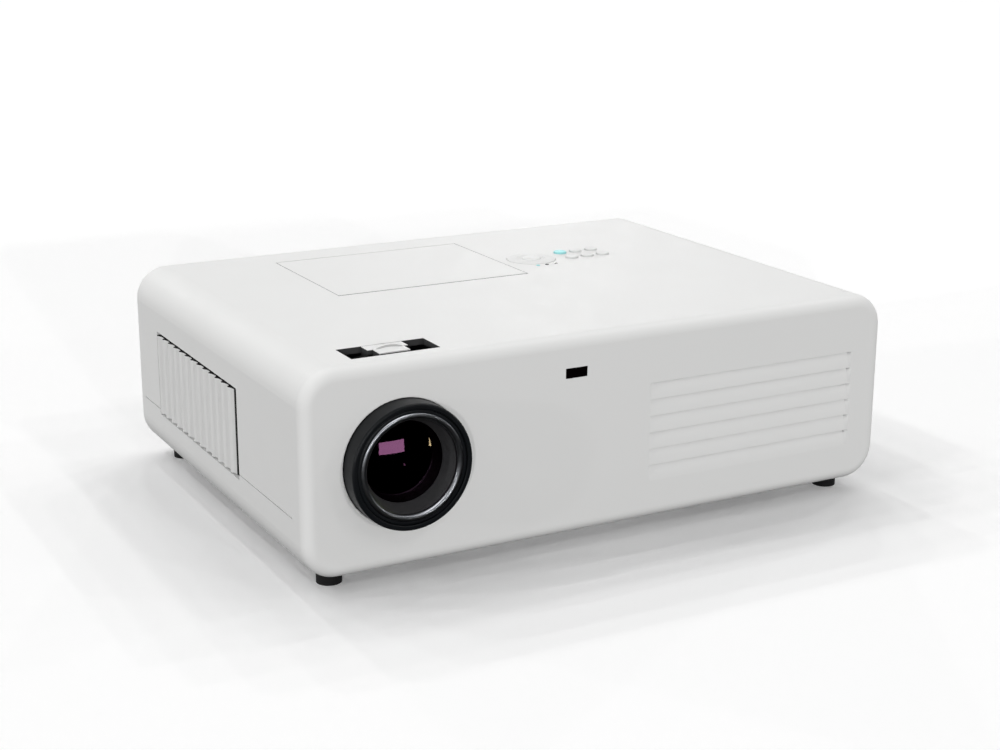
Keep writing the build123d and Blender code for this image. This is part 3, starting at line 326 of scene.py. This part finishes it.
class Finish:
    """A material with one main shader. Constants are set on the shader's own sockets."""

    def __init__(self, name, **constants):
        self.material = bpy.data.materials.new(name)
        self.material.use_nodes = True
        self.tree = self.material.node_tree
        self.tree.nodes.clear()
        self.output = self.tree.nodes.new("ShaderNodeOutputMaterial")
        self.shader = self.tree.nodes.new("ShaderNodeBsdfPrincipled")
        self.tree.links.new(self.shader.outputs[0], self.output.inputs["Surface"])
        for key, value in constants.items():
            self.feed(key.replace("_", " "), value)

    def node(self, kind, settings=None, inputs=None, output=0):
        """Adds a node: its settings first, then the values or links of its sockets."""
        node = self.tree.nodes.new(kind)
        for key, value in (settings or {}).items():
            setattr(node, key, value)
        for key, value in (inputs or {}).items():
            self.plug(node.inputs[key], value)
        return Value(self, node.outputs[output])

    def plug(self, socket, value):
        if isinstance(value, Value):
            self.tree.links.new(value.socket, socket)
        elif socket.type == "RGBA" and len(value) == 3:
            socket.default_value = (*value, 1.0)
        else:
            socket.default_value = value

    def feed(self, name, value):
        """Sets or links one socket of the main shader."""
        self.plug(self.shader.inputs[name], value)

    def place(self):
        """Object coordinates, in metres."""
        return self.node("ShaderNodeTexCoord", output="Object")

    def axes(self, place=None):
        split = self.node("ShaderNodeSeparateXYZ", {}, {0: place or self.place()})
        outputs = split.socket.node.outputs
        return [Value(self, socket) for socket in outputs]

    def stretched(self, scale):
        """Object coordinates with their own scale on each axis."""
        return self.node("ShaderNodeMapping", {}, {"Vector": self.place(), "Scale": scale})

    def facing(self):
        """Way that the surface faces, along each axis."""
        return self.axes(self.node("ShaderNodeNewGeometry", output="Normal"))

    def noise(self, grain, detail=2.0, place=None):
        """Cloudy values from 0 to 1 whose patches measure about one grain."""
        inputs = {"Vector": place or self.place(), "Scale": 1 / grain, "Detail": detail}
        return self.node("ShaderNodeTexNoise", {}, inputs)

    def level(self, value, low, high, out_low=0.0, out_high=1.0):
        """Straight ramp of a value between two limits."""
        inputs = {0: value, 1: low, 2: high, 3: out_low, 4: out_high}
        return self.node("ShaderNodeMapRange", {"clamp": True}, inputs)

    def gloss(self, clouds, smoothest, roughest, span=cloud_span):
        """Roughness between two values, by the clouds of a noise."""
        self.feed("Roughness", self.level(clouds, *span, smoothest, roughest))

    def mix(self, factor, first, second):
        """Colour between two colours."""
        inputs = {0: factor, 6: first, 7: second}
        return self.node("ShaderNodeMix", {"data_type": "RGBA"}, inputs, output=2)

    def bump(self, height, distance):
        """Normal of a relief with that real height."""
        inputs = {"Height": height, "Distance": distance, "Strength": 1.0}
        return self.node("ShaderNodeBump", {}, inputs)


def dimmed(colour, share):
    return tuple(channel * share for channel in colour)


def lens_axis():
    low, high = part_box("lens_tube")
    return (low + high) / 2


def moulded(finish, grain, relief, rough, rough_spread):
    """Fine moulding texture with an uneven sheen."""
    fine = finish.noise(grain, detail=3.0)
    broad = finish.noise(grain * cloud_grains, detail=2.0)
    finish.gloss(broad, rough - rough_spread, rough + rough_spread)
    finish.feed("Normal", finish.bump(fine, relief))
    return finish


def rest_corners():
    """Middle of the casing and its half sizes, from the frame."""
    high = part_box("top_cover")[1]
    y0, y1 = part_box("front_panel")[0].y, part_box("rear_panel")[1].y
    z0, z1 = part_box("bottom_cover")[0].z, high.z
    middle = Vector((0.0, (y0 + y1) / 2, (z0 + z1) / 2))
    return middle, Vector((high.x, (y1 - y0) / 2, (z1 - z0) / 2))


def inner_mask(finish, depth):
    """1 where the casing's wall faces inwards, deeper than depth under its outer form."""
    middle, half = rest_corners()
    x, y, z = finish.axes()
    side = (x.size() - (half.x - shell_round)).at_least(0.0)
    rise = ((z - middle.z).size() - (half.z - shell_round)).at_least(0.0)
    across = (side * side + rise * rise).root() - shell_round
    along = (y - middle.y).size() - half.y
    return across.at_least(along) < -depth


def seam_shade_mask(finish):
    """1 on the walls of the gap round the lamp cover, where shade is painted."""
    low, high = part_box("lamp_cover")
    middle, half = (low + high) / 2, (high - low) / 2
    x, y, z = finish.axes()
    up = finish.facing()[2]
    outside = ((x - middle.x).size() - half.x).at_least((y - middle.y).size() - half.y)
    return (outside < seam_reach) * (z > low.z) * (up < seam_facing)


def white_case():
    """White outside, shielding paint inside, and painted shade on the walls of the gap round the
    lamp cover.
    """
    finish = Finish("white_case", Specular_IOR_Level=plastic_sheen)
    shade = finish.noise(case_clouds, detail=2.0)
    pale = finish.mix(shade, white_plastic, dimmed(white_plastic, 0.985))
    inside = inner_mask(finish, shell_wall - shell_margin)
    shell = finish.mix(inside, pale, shielding_and_shade_grey)
    # Painted shade on the walls of the gap round the lamp cover
    finish.feed("Base Color", finish.mix(seam_shade_mask(finish), shell, seam_shade_grey))
    return moulded(finish, *case_moulding)


def grille_white():
    """The slats are white on their outer faces, with painted shade on their edges, tips and rails,
    on their tops and at the front end, and faint vertical streaks of painted shade on their faces.
    """
    finish = Finish("grille_white", Specular_IOR_Level=plastic_sheen)
    x, y, z = finish.axes()
    low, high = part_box("side_grille")
    across = finish.facing()[0]
    # Painted shade on the edges, tips, rails, tops and front end of the slats
    dark = (x > low.x + grille_shade_depth).at_least(across > grille_facing)
    dark = dark.at_least(z > high.z - grille_shade_top).at_least(y < low.y + grille_shade_front)
    # Faint vertical streaks of painted shade on the faces of the slats
    streaks = finish.noise(slat_grain, detail=3.0, place=finish.stretched(slat_shade_streaks))
    pale = finish.mix(streaks, white_plastic, dimmed(white_plastic, 0.9))
    finish.feed("Base Color", finish.mix(dark, pale, shielding_and_shade_grey))
    return moulded(finish, *case_moulding)


def plain_plastic(name, colour, rough=0.45, grain=0.3 * MM, relief=0.01 * MM, **constants):
    finish = Finish(name, **constants)
    shade = finish.noise(grain * shade_grains, detail=3.0)
    finish.feed("Base Color", finish.mix(shade, colour, dimmed(colour, 0.9)))
    return moulded(finish, grain, relief, rough, plastic_spread)


def brushed_metal(name, colour, rough=0.35):
    finish = Finish(name, Metallic=1.0)
    streaks = finish.noise(brush_grain, detail=4.0, place=finish.stretched(brush_streaks))
    finish.feed("Base Color", finish.mix(streaks, colour, dimmed(colour, 0.8)))
    finish.gloss(streaks, rough + brush_gloss[0], rough + brush_gloss[1])
    finish.feed("Normal", finish.bump(streaks, brush_relief))
    return finish


def polished_chrome():
    finish = Finish("polished_chrome", Metallic=1.0)
    haze = finish.noise(chrome_haze, detail=3.0)
    finish.feed("Base Color", finish.mix(haze, chrome_light, chrome_dark))
    finish.gloss(haze, *chrome_gloss)
    return finish


def coated_glass(name, tint, coating, index=1.5):
    """Lens glass. Its coating colours the reflections and, as a low index does, weakens them."""
    finish = Finish(name, Base_Color=tint, Transmission_Weight=1.0, IOR=index)
    finish.feed("Specular Tint", coating)
    dust = finish.noise(glass_dust, detail=4.0)
    finish.gloss(dust, *glass_gloss, span=glass_dust_span)
    return finish


def barrel_black():
    """Black like the tube, with a matt hood inside that is a little paler."""
    finish = Finish("barrel_black", Specular_IOR_Level=plastic_sheen)
    axis = lens_axis()
    x, _, z = finish.axes()
    out, up = x - axis.x, z - axis.z
    radius = (out * out + up * up).root()
    finish.feed("Base Color", finish.mix(radius < hood_inner, tube_black, hood_grey))
    return moulded(finish, *barrel_moulding)


def tab_white():
    """The tabs are black levers with a white cap, whose front has painted shade."""
    finish = Finish("tab_white", Specular_IOR_Level=plastic_sheen)
    height = finish.axes()[2]
    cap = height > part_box("top_cover")[1].z - tab_cap_t
    # Painted shade on the faces of the caps that look to the front
    pale = finish.mix(finish.facing()[1] < tab_facing, key_plastic, rim_shade_grey)
    finish.feed("Base Color", finish.mix(cap, slot_black, pale))
    return moulded(finish, *tab_moulding)


def foam_mat():
    finish = Finish("filter_foam", Specular_IOR_Level=0.2)
    cells = finish.node("ShaderNodeTexVoronoi", {"feature": "DISTANCE_TO_EDGE"},
                        {"Vector": finish.place(), "Scale": 1 / foam_cell})
    open_cell = finish.level(cells, *foam_hole_span)
    finish.feed("Base Color", finish.mix(open_cell, foam_strut, foam_hole))
    finish.feed("Roughness", foam_rough)
    finish.feed("Normal", finish.bump(1 - open_cell, foam_relief))
    return finish


def circuit_board():
    finish = Finish("circuit_board", Coat_Weight=0.3, Coat_Roughness=0.2)
    inputs = {"Vector": finish.place(), "Scale": board_scale, "Mortar Size": board_track_width,
              "Mortar Smooth": board_track_edge}
    tracks = finish.node("ShaderNodeTexBrick", {"offset": board_stagger}, inputs, output="Fac")
    finish.feed("Base Color", finish.mix(tracks, board_green, board_track))
    finish.gloss(finish.noise(board_haze), *board_gloss)
    finish.feed("Normal", finish.bump(tracks, board_relief))
    return finish


def silvered():
    finish = Finish("silvered_mirror", Metallic=1.0, Base_Color=mirror_silver)
    finish.gloss(finish.noise(mirror_haze), *mirror_gloss)
    return finish


def quartz():
    finish = Finish("quartz", Base_Color=quartz_clear, Transmission_Weight=0.9, IOR=1.46)
    finish.gloss(finish.noise(quartz_haze), *quartz_gloss)
    return finish


finishes = {
    "case_white": white_case(),
    "key_white": plain_plastic("key_white", key_plastic, rough=0.6,
                               Specular_IOR_Level=plastic_sheen),
    "power_cyan": plain_plastic("power_cyan", cyan_plastic, rough=0.5,
                                Specular_IOR_Level=plastic_sheen),
    "indicator_dark": plain_plastic("indicator_dark", indicator_black, rough=0.4,
                                    Specular_IOR_Level=0.1),
    "window_dark": plain_plastic("window_dark", window_black, rough=0.2,
                                 Specular_IOR_Level=0.03),
    "lens_black": plain_plastic("lens_black", tube_black, rough=0.38, grain=0.25 * MM,
                                Specular_IOR_Level=plastic_sheen),
    "slot_black": plain_plastic("slot_black", slot_black, rough=0.8, Specular_IOR_Level=0.1),
    "chrome": polished_chrome(),
    "lens_glass": coated_glass("lens_glass", glass_black, lens_coating, index=coated_index),
    "panel_glass": coated_glass("panel_glass", panel_tint, panel_coating),
    "mirror": silvered(),
    "inner_black": plain_plastic("inner_black", black_plastic, rough=0.5),
    "foam": foam_mat(),
    "reflector": silvered(),
    "quartz": quartz(),
    "board_green": circuit_board(),
    "ballast_metal": brushed_metal("ballast_metal", ballast_grey),
    "socket_black": plain_plastic("socket_black", socket_dark, rough=0.4),
    "socket_blue": plain_plastic("socket_blue", socket_ink, rough=0.4),
    "socket_metal": brushed_metal("socket_metal", socket_grey, rough=0.28),
    "foot_rubber": plain_plastic("foot_rubber", rubber_black, rough=0.75, grain=0.5 * MM,
                                 relief=0.04 * MM, Specular_IOR_Level=0.15),
    "screw_steel": brushed_metal("screw_steel", screw_grey, rough=0.3),
    "insert_brass": brushed_metal("insert_brass", brass_yellow, rough=0.25),
}
own_finishes = {
    "side_grille": grille_white(),
    "focus_ring": finishes["slot_black"],
    "zoom_ring": finishes["slot_black"],
    "focus_barrel": barrel_black(),
    "focus_tab": tab_white(),
    "zoom_tab": tab_white(),
    "zoom_lens": coated_glass("inner_glass", glass_black, inner_coating, index=coated_index),
}


def dress_nodes():
    """Gives every CAD node the finish of its slot, or its own."""
    for part in frame["record"]["subparts"]:
        node = frame["nodes"][part["node"]]
        finish = own_finishes.get(part["node"], finishes[part["material_slot"]])
        for slot in node.material_slots:
            slot.material = finish.material
        if part["material_slot"] == "case_white":
            node.visible_diffuse = False  # keeps the casing's bounce light out of its shadow


def begin_piece():
    bpy.ops.object.select_all(action="DESELECT")


def name_piece(name):
    """Names the new primitive and bakes its place into its mesh."""
    bpy.ops.object.transform_apply(location=True, rotation=True, scale=True)
    piece = bpy.context.object
    piece.name = name
    return piece


def start_shaping(kind="FACE"):
    bpy.ops.object.mode_set(mode="EDIT")
    bpy.ops.mesh.select_mode(type=kind)
    bpy.ops.mesh.select_all(action="DESELECT")


def pick_faces(piece, test):
    """Selects the faces whose middle and normal pass the test."""
    mesh = bmesh.from_edit_mesh(piece.data)
    for face in mesh.faces:
        face.select_set(test(face.calc_center_median(), face.normal))
    bmesh.update_edit_mesh(piece.data)


def pick_points(piece, test):
    mesh = bmesh.from_edit_mesh(piece.data)
    for vertex in mesh.verts:
        vertex.select_set(test(vertex.co))
    mesh.select_flush(True)
    bmesh.update_edit_mesh(piece.data)


def near(value, other):
    return abs(value - other) < same_place


def push(x, y, z):
    bpy.ops.mesh.extrude_region_move(TRANSFORM_OT_translate={"value": (x, y, z)})


def end_shaping(piece, smooth=crease_angle):
    bpy.ops.mesh.select_all(action="SELECT")
    bpy.ops.mesh.remove_doubles(threshold=merge_distance)
    bpy.ops.mesh.normals_make_consistent(inside=False)
    bpy.ops.object.mode_set(mode="OBJECT")
    bpy.ops.object.select_all(action="DESELECT")
    piece.select_set(True)
    bpy.context.view_layer.objects.active = piece
    bpy.ops.object.shade_smooth_by_angle(angle=math.radians(smooth))
    piece.select_set(False)


def round_edges(piece, width, angle=edge_angle, segments=edge_steps):
    """Rounds the sharp edges with a bevel that is applied."""
    bevel = piece.modifiers.new("round", "BEVEL")
    bevel.width = width
    bevel.segments = segments
    bevel.limit_method = "ANGLE"
    bevel.angle_limit = math.radians(angle)
    piece.select_set(True)
    bpy.context.view_layer.objects.active = piece
    bpy.ops.object.modifier_apply(modifier=bevel.name)
    piece.select_set(False)


def mount(piece, body, finish):
    piece.data.materials.clear()
    piece.data.materials.append(finish.material)
    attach(piece, body)


def copies(piece, shifts):
    """Moved copies of a piece, each with its own mesh."""
    made = []
    for shift in shifts:
        copy = piece.copy()
        copy.data = piece.data.copy()
        copy.data.transform(Matrix.Translation(shift))
        bpy.context.scene.collection.objects.link(copy)
        made.append(copy)
    return made


def join(pieces, name):
    bpy.ops.object.select_all(action="DESELECT")
    for piece in pieces:
        piece.select_set(True)
    bpy.context.view_layer.objects.active = pieces[0]
    bpy.ops.object.join()
    whole = bpy.context.object
    whole.name = name
    whole.select_set(False)
    return whole


def make_bezel():
    """Polished wire ring in the front of the focus barrel, flat where it sits."""
    low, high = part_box("chrome_ring")
    axis = lens_axis()
    wire = (high.y - low.y) / 2
    x, middle_y = high.x - wire, (low.y + high.y) / 2
    back_y = middle_y + wire * bezel_flat
    begin_piece()
    bpy.ops.mesh.primitive_circle_add(vertices=bezel_facets, radius=wire, fill_type="NOTHING",
                                      location=(x, middle_y, axis.z))
    bezel = name_piece("bezel_ring")
    start_shaping("VERT")
    pick_points(bezel, lambda place: place.y > back_y)
    bpy.ops.transform.resize(value=(1.0, 0.0, 1.0), center_override=(x, back_y, axis.z))
    bpy.ops.mesh.select_all(action="SELECT")
    bpy.ops.mesh.spin(steps=bezel_steps, angle=math.tau, center=(axis.x, middle_y, axis.z),
                      axis=(0.0, 1.0, 0.0))
    end_shaping(bezel, soft_crease)
    mount(bezel, "focus_barrel", finishes["chrome"])
    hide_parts("chrome_ring")
    return bezel


def louvre_ramp(x_end, x_inner):
    """End of one louvre, where its lean runs out to the front face."""
    front_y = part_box("front_panel")[0].y
    z1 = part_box("bottom_cover")[0].z + louvre_top
    z0 = z1 - louvre_pitch
    begin_piece()
    bpy.ops.mesh.primitive_grid_add(x_subdivisions=1, y_subdivisions=ramp_rows, size=1.0,
                                    location=((x_end + x_inner) / 2, front_y, (z0 + z1) / 2),
                                    rotation=(math.radians(90), 0.0, 0.0))
    bpy.context.object.scale = (ramp_run, louvre_pitch, 1.0)
    ramp = name_piece("louvre_ramp")
    start_shaping("VERT")
    for row in range(ramp_rows + 1):
        z = z0 + row * louvre_pitch / ramp_rows
        lean = fin_lean * ((z - z0) / (louvre_pitch + fin_tuck)) ** 2 + ramp_overlap
        pick_points(ramp, lambda place: near(place.z, z) and near(place.x, x_inner))
        bpy.ops.transform.translate(value=(0.0, lean, 0.0))
    bpy.ops.mesh.select_all(action="SELECT")
    push(0.0, ramp_wall, 0.0)
    end_shaping(ramp, soft_crease)
    return ramp


def make_louvre_ramps():
    """Ramps at the right-hand ends of the six front louvres."""
    x_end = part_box("top_cover")[1].x - louvre_from_right
    ramp = louvre_ramp(x_end, x_end - ramp_run)
    shifts = [Vector((0.0, 0.0, -louvre_pitch * index)) for index in range(1, louvre_count)]
    whole = join([ramp] + copies(ramp, shifts), "louvre_ramps")
    mount(whole, "casing", finishes["key_white"])


def make_focus_pad():
    """Finger pad of the focus lever: an arched rim at the back and a shelf that rises to it."""
    low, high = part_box("focus_tab")
    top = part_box("top_cover")[1].z
    middle, size = (low + high) / 2, high - low
    begin_piece()
    bpy.ops.mesh.primitive_grid_add(x_subdivisions=pad_columns, y_subdivisions=pad_rows, size=1.0,
                                    location=(middle.x, middle.y, top + pad_rim))
    bpy.context.object.scale = (size.x, size.y, 1.0)
    pad = name_piece("focus_pad")
    start_shaping("VERT")
    for column in range(1, pad_columns):
        across = 2 * column / pad_columns - 1
        x = middle.x + across * size.x / 2
        rise = (high.z - top - pad_rim) * (1 - across ** 2)
        for row in range(1, pad_rows + 1):
            y = low.y + row * size.y / pad_rows
            shelf = max(rise - pad_wall, 0.0) * row / pad_rows
            lift = rise if y > high.y - pad_step else shelf
            pick_points(pad, lambda place: near(place.x, x) and near(place.y, y))
            bpy.ops.transform.translate(value=(0.0, 0.0, lift))
    bpy.ops.mesh.select_all(action="SELECT")
    push(0.0, 0.0, -pad_root)
    pick_points(pad, lambda place: place.z < top - pad_rim)
    bottom = (middle.x, middle.y, top - pad_root)
    bpy.ops.transform.resize(value=(1.0, 1.0, 0.0), center_override=bottom)
    end_shaping(pad)
    round_edges(pad, pad_round, angle=pad_crease, segments=2)
    mount(pad, "focus_ring", own_finishes["focus_tab"])
    pad.visible_diffuse = False  # keeps the shelf's bounce light off the rim
    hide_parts("focus_tab")


def make_filter_mat():
    """Foam mat behind the louvres: soft edges and a dimpled face."""
    low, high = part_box("filter_foam")
    middle, size = (low + high) / 2, high - low
    begin_piece()
    bpy.ops.mesh.primitive_cube_add(size=1.0, location=middle, scale=size)
    mat = name_piece("filter_mat")
    start_shaping()
    bpy.ops.mesh.select_all(action="SELECT")
    bpy.ops.mesh.subdivide(number_cuts=mat_cells)
    pick_faces(mat, lambda place, normal: abs(normal.y) > same_way)
    bpy.ops.mesh.inset(thickness=mat_rib, use_individual=True)
    bpy.ops.transform.resize(value=(1.0, mat_dimple, 1.0), center_override=middle)
    end_shaping(mat, mat_crease)
    round_edges(mat, mat_round, angle=soft_crease, segments=2)
    mount(mat, "casing", finishes["foam"])
    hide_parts("filter_foam")


def make_jack_collars():
    """Coloured collars round the five signal jacks."""
    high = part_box("round_jacks")[1]
    x, z = high.x - jack_radius, high.z - jack_radius
    middle_y = high.y + collar_proud - collar_depth / 2
    begin_piece()
    bpy.ops.mesh.primitive_cylinder_add(vertices=collar_facets, radius=jack_radius,
                                        depth=collar_depth, location=(x, middle_y, z),
                                        rotation=(math.radians(90), 0.0, 0.0))
    collar = name_piece("jack_collar_1")
    start_shaping()
    pick_faces(collar, lambda place, normal: normal.y > same_way)
    bpy.ops.mesh.inset(thickness=collar_wall)
    push(0.0, -collar_depth * collar_sink, 0.0)
    inner = jack_radius / 4
    pick_faces(collar, lambda place, normal: abs(normal.y) > same_way and abs(place.x - x) < inner)
    bpy.ops.mesh.inset(thickness=jack_radius - collar_wall - jack_bore)
    bpy.ops.mesh.bridge_edge_loops()
    end_shaping(collar)
    round_edges(collar, collar_round)
    shifts = [Vector((-jack_pitch * index, 0.0, 0.0)) for index in range(1, len(collar_colours))]
    for index, piece in enumerate([collar] + copies(collar, shifts)):
        piece.name = f"jack_collar_{index + 1}"
        finish = plain_plastic(f"collar_{index + 1}", collar_colours[index], rough=collar_rough)
        mount(piece, "casing", finish)


def make_standoffs():
    """Threaded hexagons beside the three D-shaped sockets."""
    low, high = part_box("computer_sockets")
    wall_y = high.y - dsub_out
    x = high.x - dsub_half_w
    z = (low.z + high.z) / 2
    begin_piece()
    bpy.ops.mesh.primitive_cylinder_add(vertices=6, radius=hex_radius, depth=hex_length,
                                        location=(x + hex_offset, wall_y + hex_length / 2, z),
                                        rotation=(math.radians(90), 0.0, 0.0))
    hexagon = name_piece("socket_standoff")
    start_shaping()
    pick_faces(hexagon, lambda place, normal: normal.y > same_way)
    bpy.ops.mesh.inset(thickness=hex_radius * hex_rim)
    bpy.ops.transform.translate(value=(0.0, hex_length * hex_crown, 0.0))
    bpy.ops.mesh.inset(thickness=hex_radius * hex_wall)
    push(0.0, -hex_length * hex_bore, 0.0)
    end_shaping(hexagon)
    round_edges(hexagon, hex_round, segments=2)
    sides = (0.0, -2 * hex_offset)
    steps = [side - dsub_pitch * index for index in range(dsub_count) for side in sides]
    shifts = [Vector((step, 0.0, 0.0)) for step in steps[1:]]
    whole = join([hexagon] + copies(hexagon, shifts), "socket_standoffs")
    mount(whole, "casing", finishes["socket_metal"])


def make_network_contacts():
    """Eight sprung wires in the network socket."""
    low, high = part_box("network_socket")
    middle = (low + high) / 2
    x = middle.x - contact_pitch * (contact_count - 1) / 2
    y, z = high.y - contact_inside, middle.z + contact_above
    begin_piece()
    bpy.ops.mesh.primitive_cube_add(size=1.0, location=(x, y, z),
                                    scale=(contact_width, contact_length, contact_width))
    contact = name_piece("network_contact")
    start_shaping()
    pick_faces(contact, lambda place, normal: normal.y < -same_way)
    bpy.ops.transform.translate(value=(0.0, 0.0, contact_slope))
    push(0.0, -contact_tail, 0.0)
    end_shaping(contact)
    round_edges(contact, contact_round, segments=2)
    shifts = [Vector((contact_pitch * index, 0.0, 0.0)) for index in range(1, contact_count)]
    whole = join([contact] + copies(contact, shifts), "network_contacts")
    mount(whole, "casing", finishes["insert_brass"])


def make_lamp_handle():
    """Bail on the lamp housing, for lifting the lamp out."""
    low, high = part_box("lamp_housing")
    x0, x1 = low.x + handle_inset, high.x - handle_inset
    y = (low.y + high.y) / 2
    z0, z1 = high.z - handle_foot, high.z + handle_rise
    data = bpy.data.curves.new("lamp_handle", "CURVE")
    data.dimensions = "3D"
    data.bevel_depth = handle_wire
    data.bevel_resolution = handle_facets
    data.use_fill_caps = True
    line = data.splines.new("NURBS")
    shoulder_z = z1 - handle_bend
    left = ((x0, z0), (x0, shoulder_z), (x0, z1), (x0 + handle_bend, z1))
    right = ((x1 - handle_bend, z1), (x1, z1), (x1, shoulder_z), (x1, z0))
    places = left + right
    line.points.add(len(places) - 1)
    for point, (x, z) in zip(line.points, places):
        point.co = (x, y, z, 1.0)
    line.order_u = 3
    line.use_endpoint_u = True
    line.resolution_u = handle_steps
    curve = bpy.data.objects.new("lamp_handle", data)
    bpy.context.scene.collection.objects.link(curve)
    begin_piece()
    curve.select_set(True)
    bpy.context.view_layer.objects.active = curve
    bpy.ops.object.convert(target="MESH")
    handle = bpy.context.object
    handle.name = "lamp_handle"
    handle.select_set(False)
    mount(handle, "casing", finishes["screw_steel"])


def make_camera():
    data = bpy.data.cameras.new("camera")
    data.lens = camera_lens
    data.sensor_width = camera_sensor
    data.sensor_fit = "HORIZONTAL"
    data.clip_end = camera_reach
    camera = bpy.data.objects.new("camera", data)
    bpy.context.scene.collection.objects.link(camera)
    heading = Matrix.Rotation(math.radians(-camera_yaw), 4, "Z")
    tilt = Matrix.Rotation(math.radians(90 - camera_pitch), 4, "X")
    roll = Matrix.Rotation(math.radians(camera_roll), 4, "Z")
    camera.matrix_world = Matrix.Translation(camera_place) @ heading @ tilt @ roll
    bpy.context.scene.camera = camera


def make_lamps():
    """Lamps all round, each with a faint shadow: low ones light the front, high ones the back."""
    for elevation, first, last, count, strength in lamp_arcs:
        for index in range(count):
            data = bpy.data.lights.new("studio_lamp", "SUN")
            data.energy = strength
            data.angle = math.radians(lamp_softness)
            lamp = bpy.data.objects.new("studio_lamp", data)
            bpy.context.scene.collection.objects.link(lamp)
            heading = math.radians(first + index * (last - first) / (count - 1))
            lamp.rotation_euler = (math.radians(90 - elevation), 0.0, heading)


def seen_directly(finish):
    """1 for camera, mirror and glass rays, 0 for light that falls on the object."""
    path = finish.node("ShaderNodeLightPath")
    outputs = path.socket.node.outputs
    names = ("Is Camera Ray", "Is Glossy Ray", "Is Transmission Ray")
    camera, glossy, through = (Value(finish, outputs[name]) for name in names)
    return camera.at_least(glossy).at_least(through)


class Sky(Finish):
    """The world, with the same node calls as a finish."""

    def __init__(self):
        self.world = bpy.data.worlds.new("studio")
        self.world.use_nodes = True
        self.tree = self.world.node_tree
        self.tree.nodes.clear()
        self.output = self.tree.nodes.new("ShaderNodeOutputWorld")
        self.shader = self.tree.nodes.new("ShaderNodeBackground")
        self.tree.links.new(self.shader.outputs[0], self.output.inputs["Surface"])


def make_sky():
    sky = Sky()
    sky.feed("Color", (1.0, 1.0, 1.0))
    seen = seen_directly(sky)
    sky.feed("Strength", seen * (1.0 - sky_strength) + sky_strength)
    bpy.context.scene.world = sky.world


def make_floor():
    bpy.ops.mesh.primitive_plane_add(size=floor_size)
    floor = bpy.context.object
    floor.name = "studio_floor"
    finish = Finish("studio_floor", Roughness=floor_rough, Specular_IOR_Level=0.0)
    seen = seen_directly(finish)
    finish.feed("Base Color", finish.mix(seen, (floor_bounce,) * 3, (floor_seen,) * 3))
    finish.feed("Emission Color", (1.0, 1.0, 1.0))
    finish.feed("Emission Strength", seen * floor_glow)
    floor.data.materials.append(finish.material)


def card(name, corners, colour, strength):
    """A plane that only mirror and glass rays see."""
    bpy.ops.mesh.primitive_plane_add(size=1.0)
    plane = bpy.context.object
    plane.name = name
    for vertex, corner in zip(plane.data.vertices, corners):
        vertex.co = corner
    finish = Finish(name, Base_Color=(0.0, 0.0, 0.0), Roughness=1.0, Specular_IOR_Level=0.0)
    finish.feed("Emission Color", colour)
    finish.feed("Emission Strength", strength)
    plane.data.materials.append(finish.material)
    plane.visible_camera = False
    plane.visible_diffuse = False
    plane.visible_shadow = False
    plane.visible_transmission = False
    return plane


def glint(name, azimuth, elevation, colour, strength, piece):
    """A light card before the lens, between two azimuths and elevations, for one piece alone."""
    low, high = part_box("front_lens")
    middle = (low + high) / 2
    corners = []
    for turn, rise in ((0, 0), (1, 0), (0, 1), (1, 1)):
        a = math.radians(azimuth[turn])
        e = math.radians(elevation[rise])
        ray = Vector((math.sin(a) * math.cos(e), -math.cos(a) * math.cos(e), math.sin(e)))
        corners.append(Vector((middle.x, low.y, middle.z)) + glint_distance * ray)
    plane = card(name, corners, colour, strength)
    receivers = bpy.data.collections.new(name + "_receivers")
    receivers.objects.link(piece)
    plane.light_linking.receiver_collection = receivers


def make_cards(bezel):
    corners = [(x, flag_y, z) for z in flag_z for x in flag_x]
    card("dark_flag", corners, (0.0, 0.0, 0.0), 0.0)
    corners = [(x, y, floor_flag_z) for y in floor_flag_y for x in flag_x]
    card("floor_flag", corners, (0.0, 0.0, 0.0), 0.0)
    glass = frame["nodes"]["front_lens"]
    glint("window_card", window_azimuth, window_elevation, window_colour, glass_glint, glass)
    glint("spark_card", spark_azimuth, spark_elevation, spark_colour, glass_glint, glass)
    glint("bezel_card", bezel_azimuth, bezel_elevation, bezel_colour, bezel_glint, bezel)


bpy.ops.object.select_all(action="DESELECT")
bpy.context.scene.view_settings.view_transform = "Standard"
make_camera()
make_sky()
make_lamps()
make_floor()
dress_nodes()
make_cards(make_bezel())
make_louvre_ramps()
make_focus_pad()
make_filter_mat()
make_jack_collars()
make_standoffs()
make_network_contacts()
make_lamp_handle()
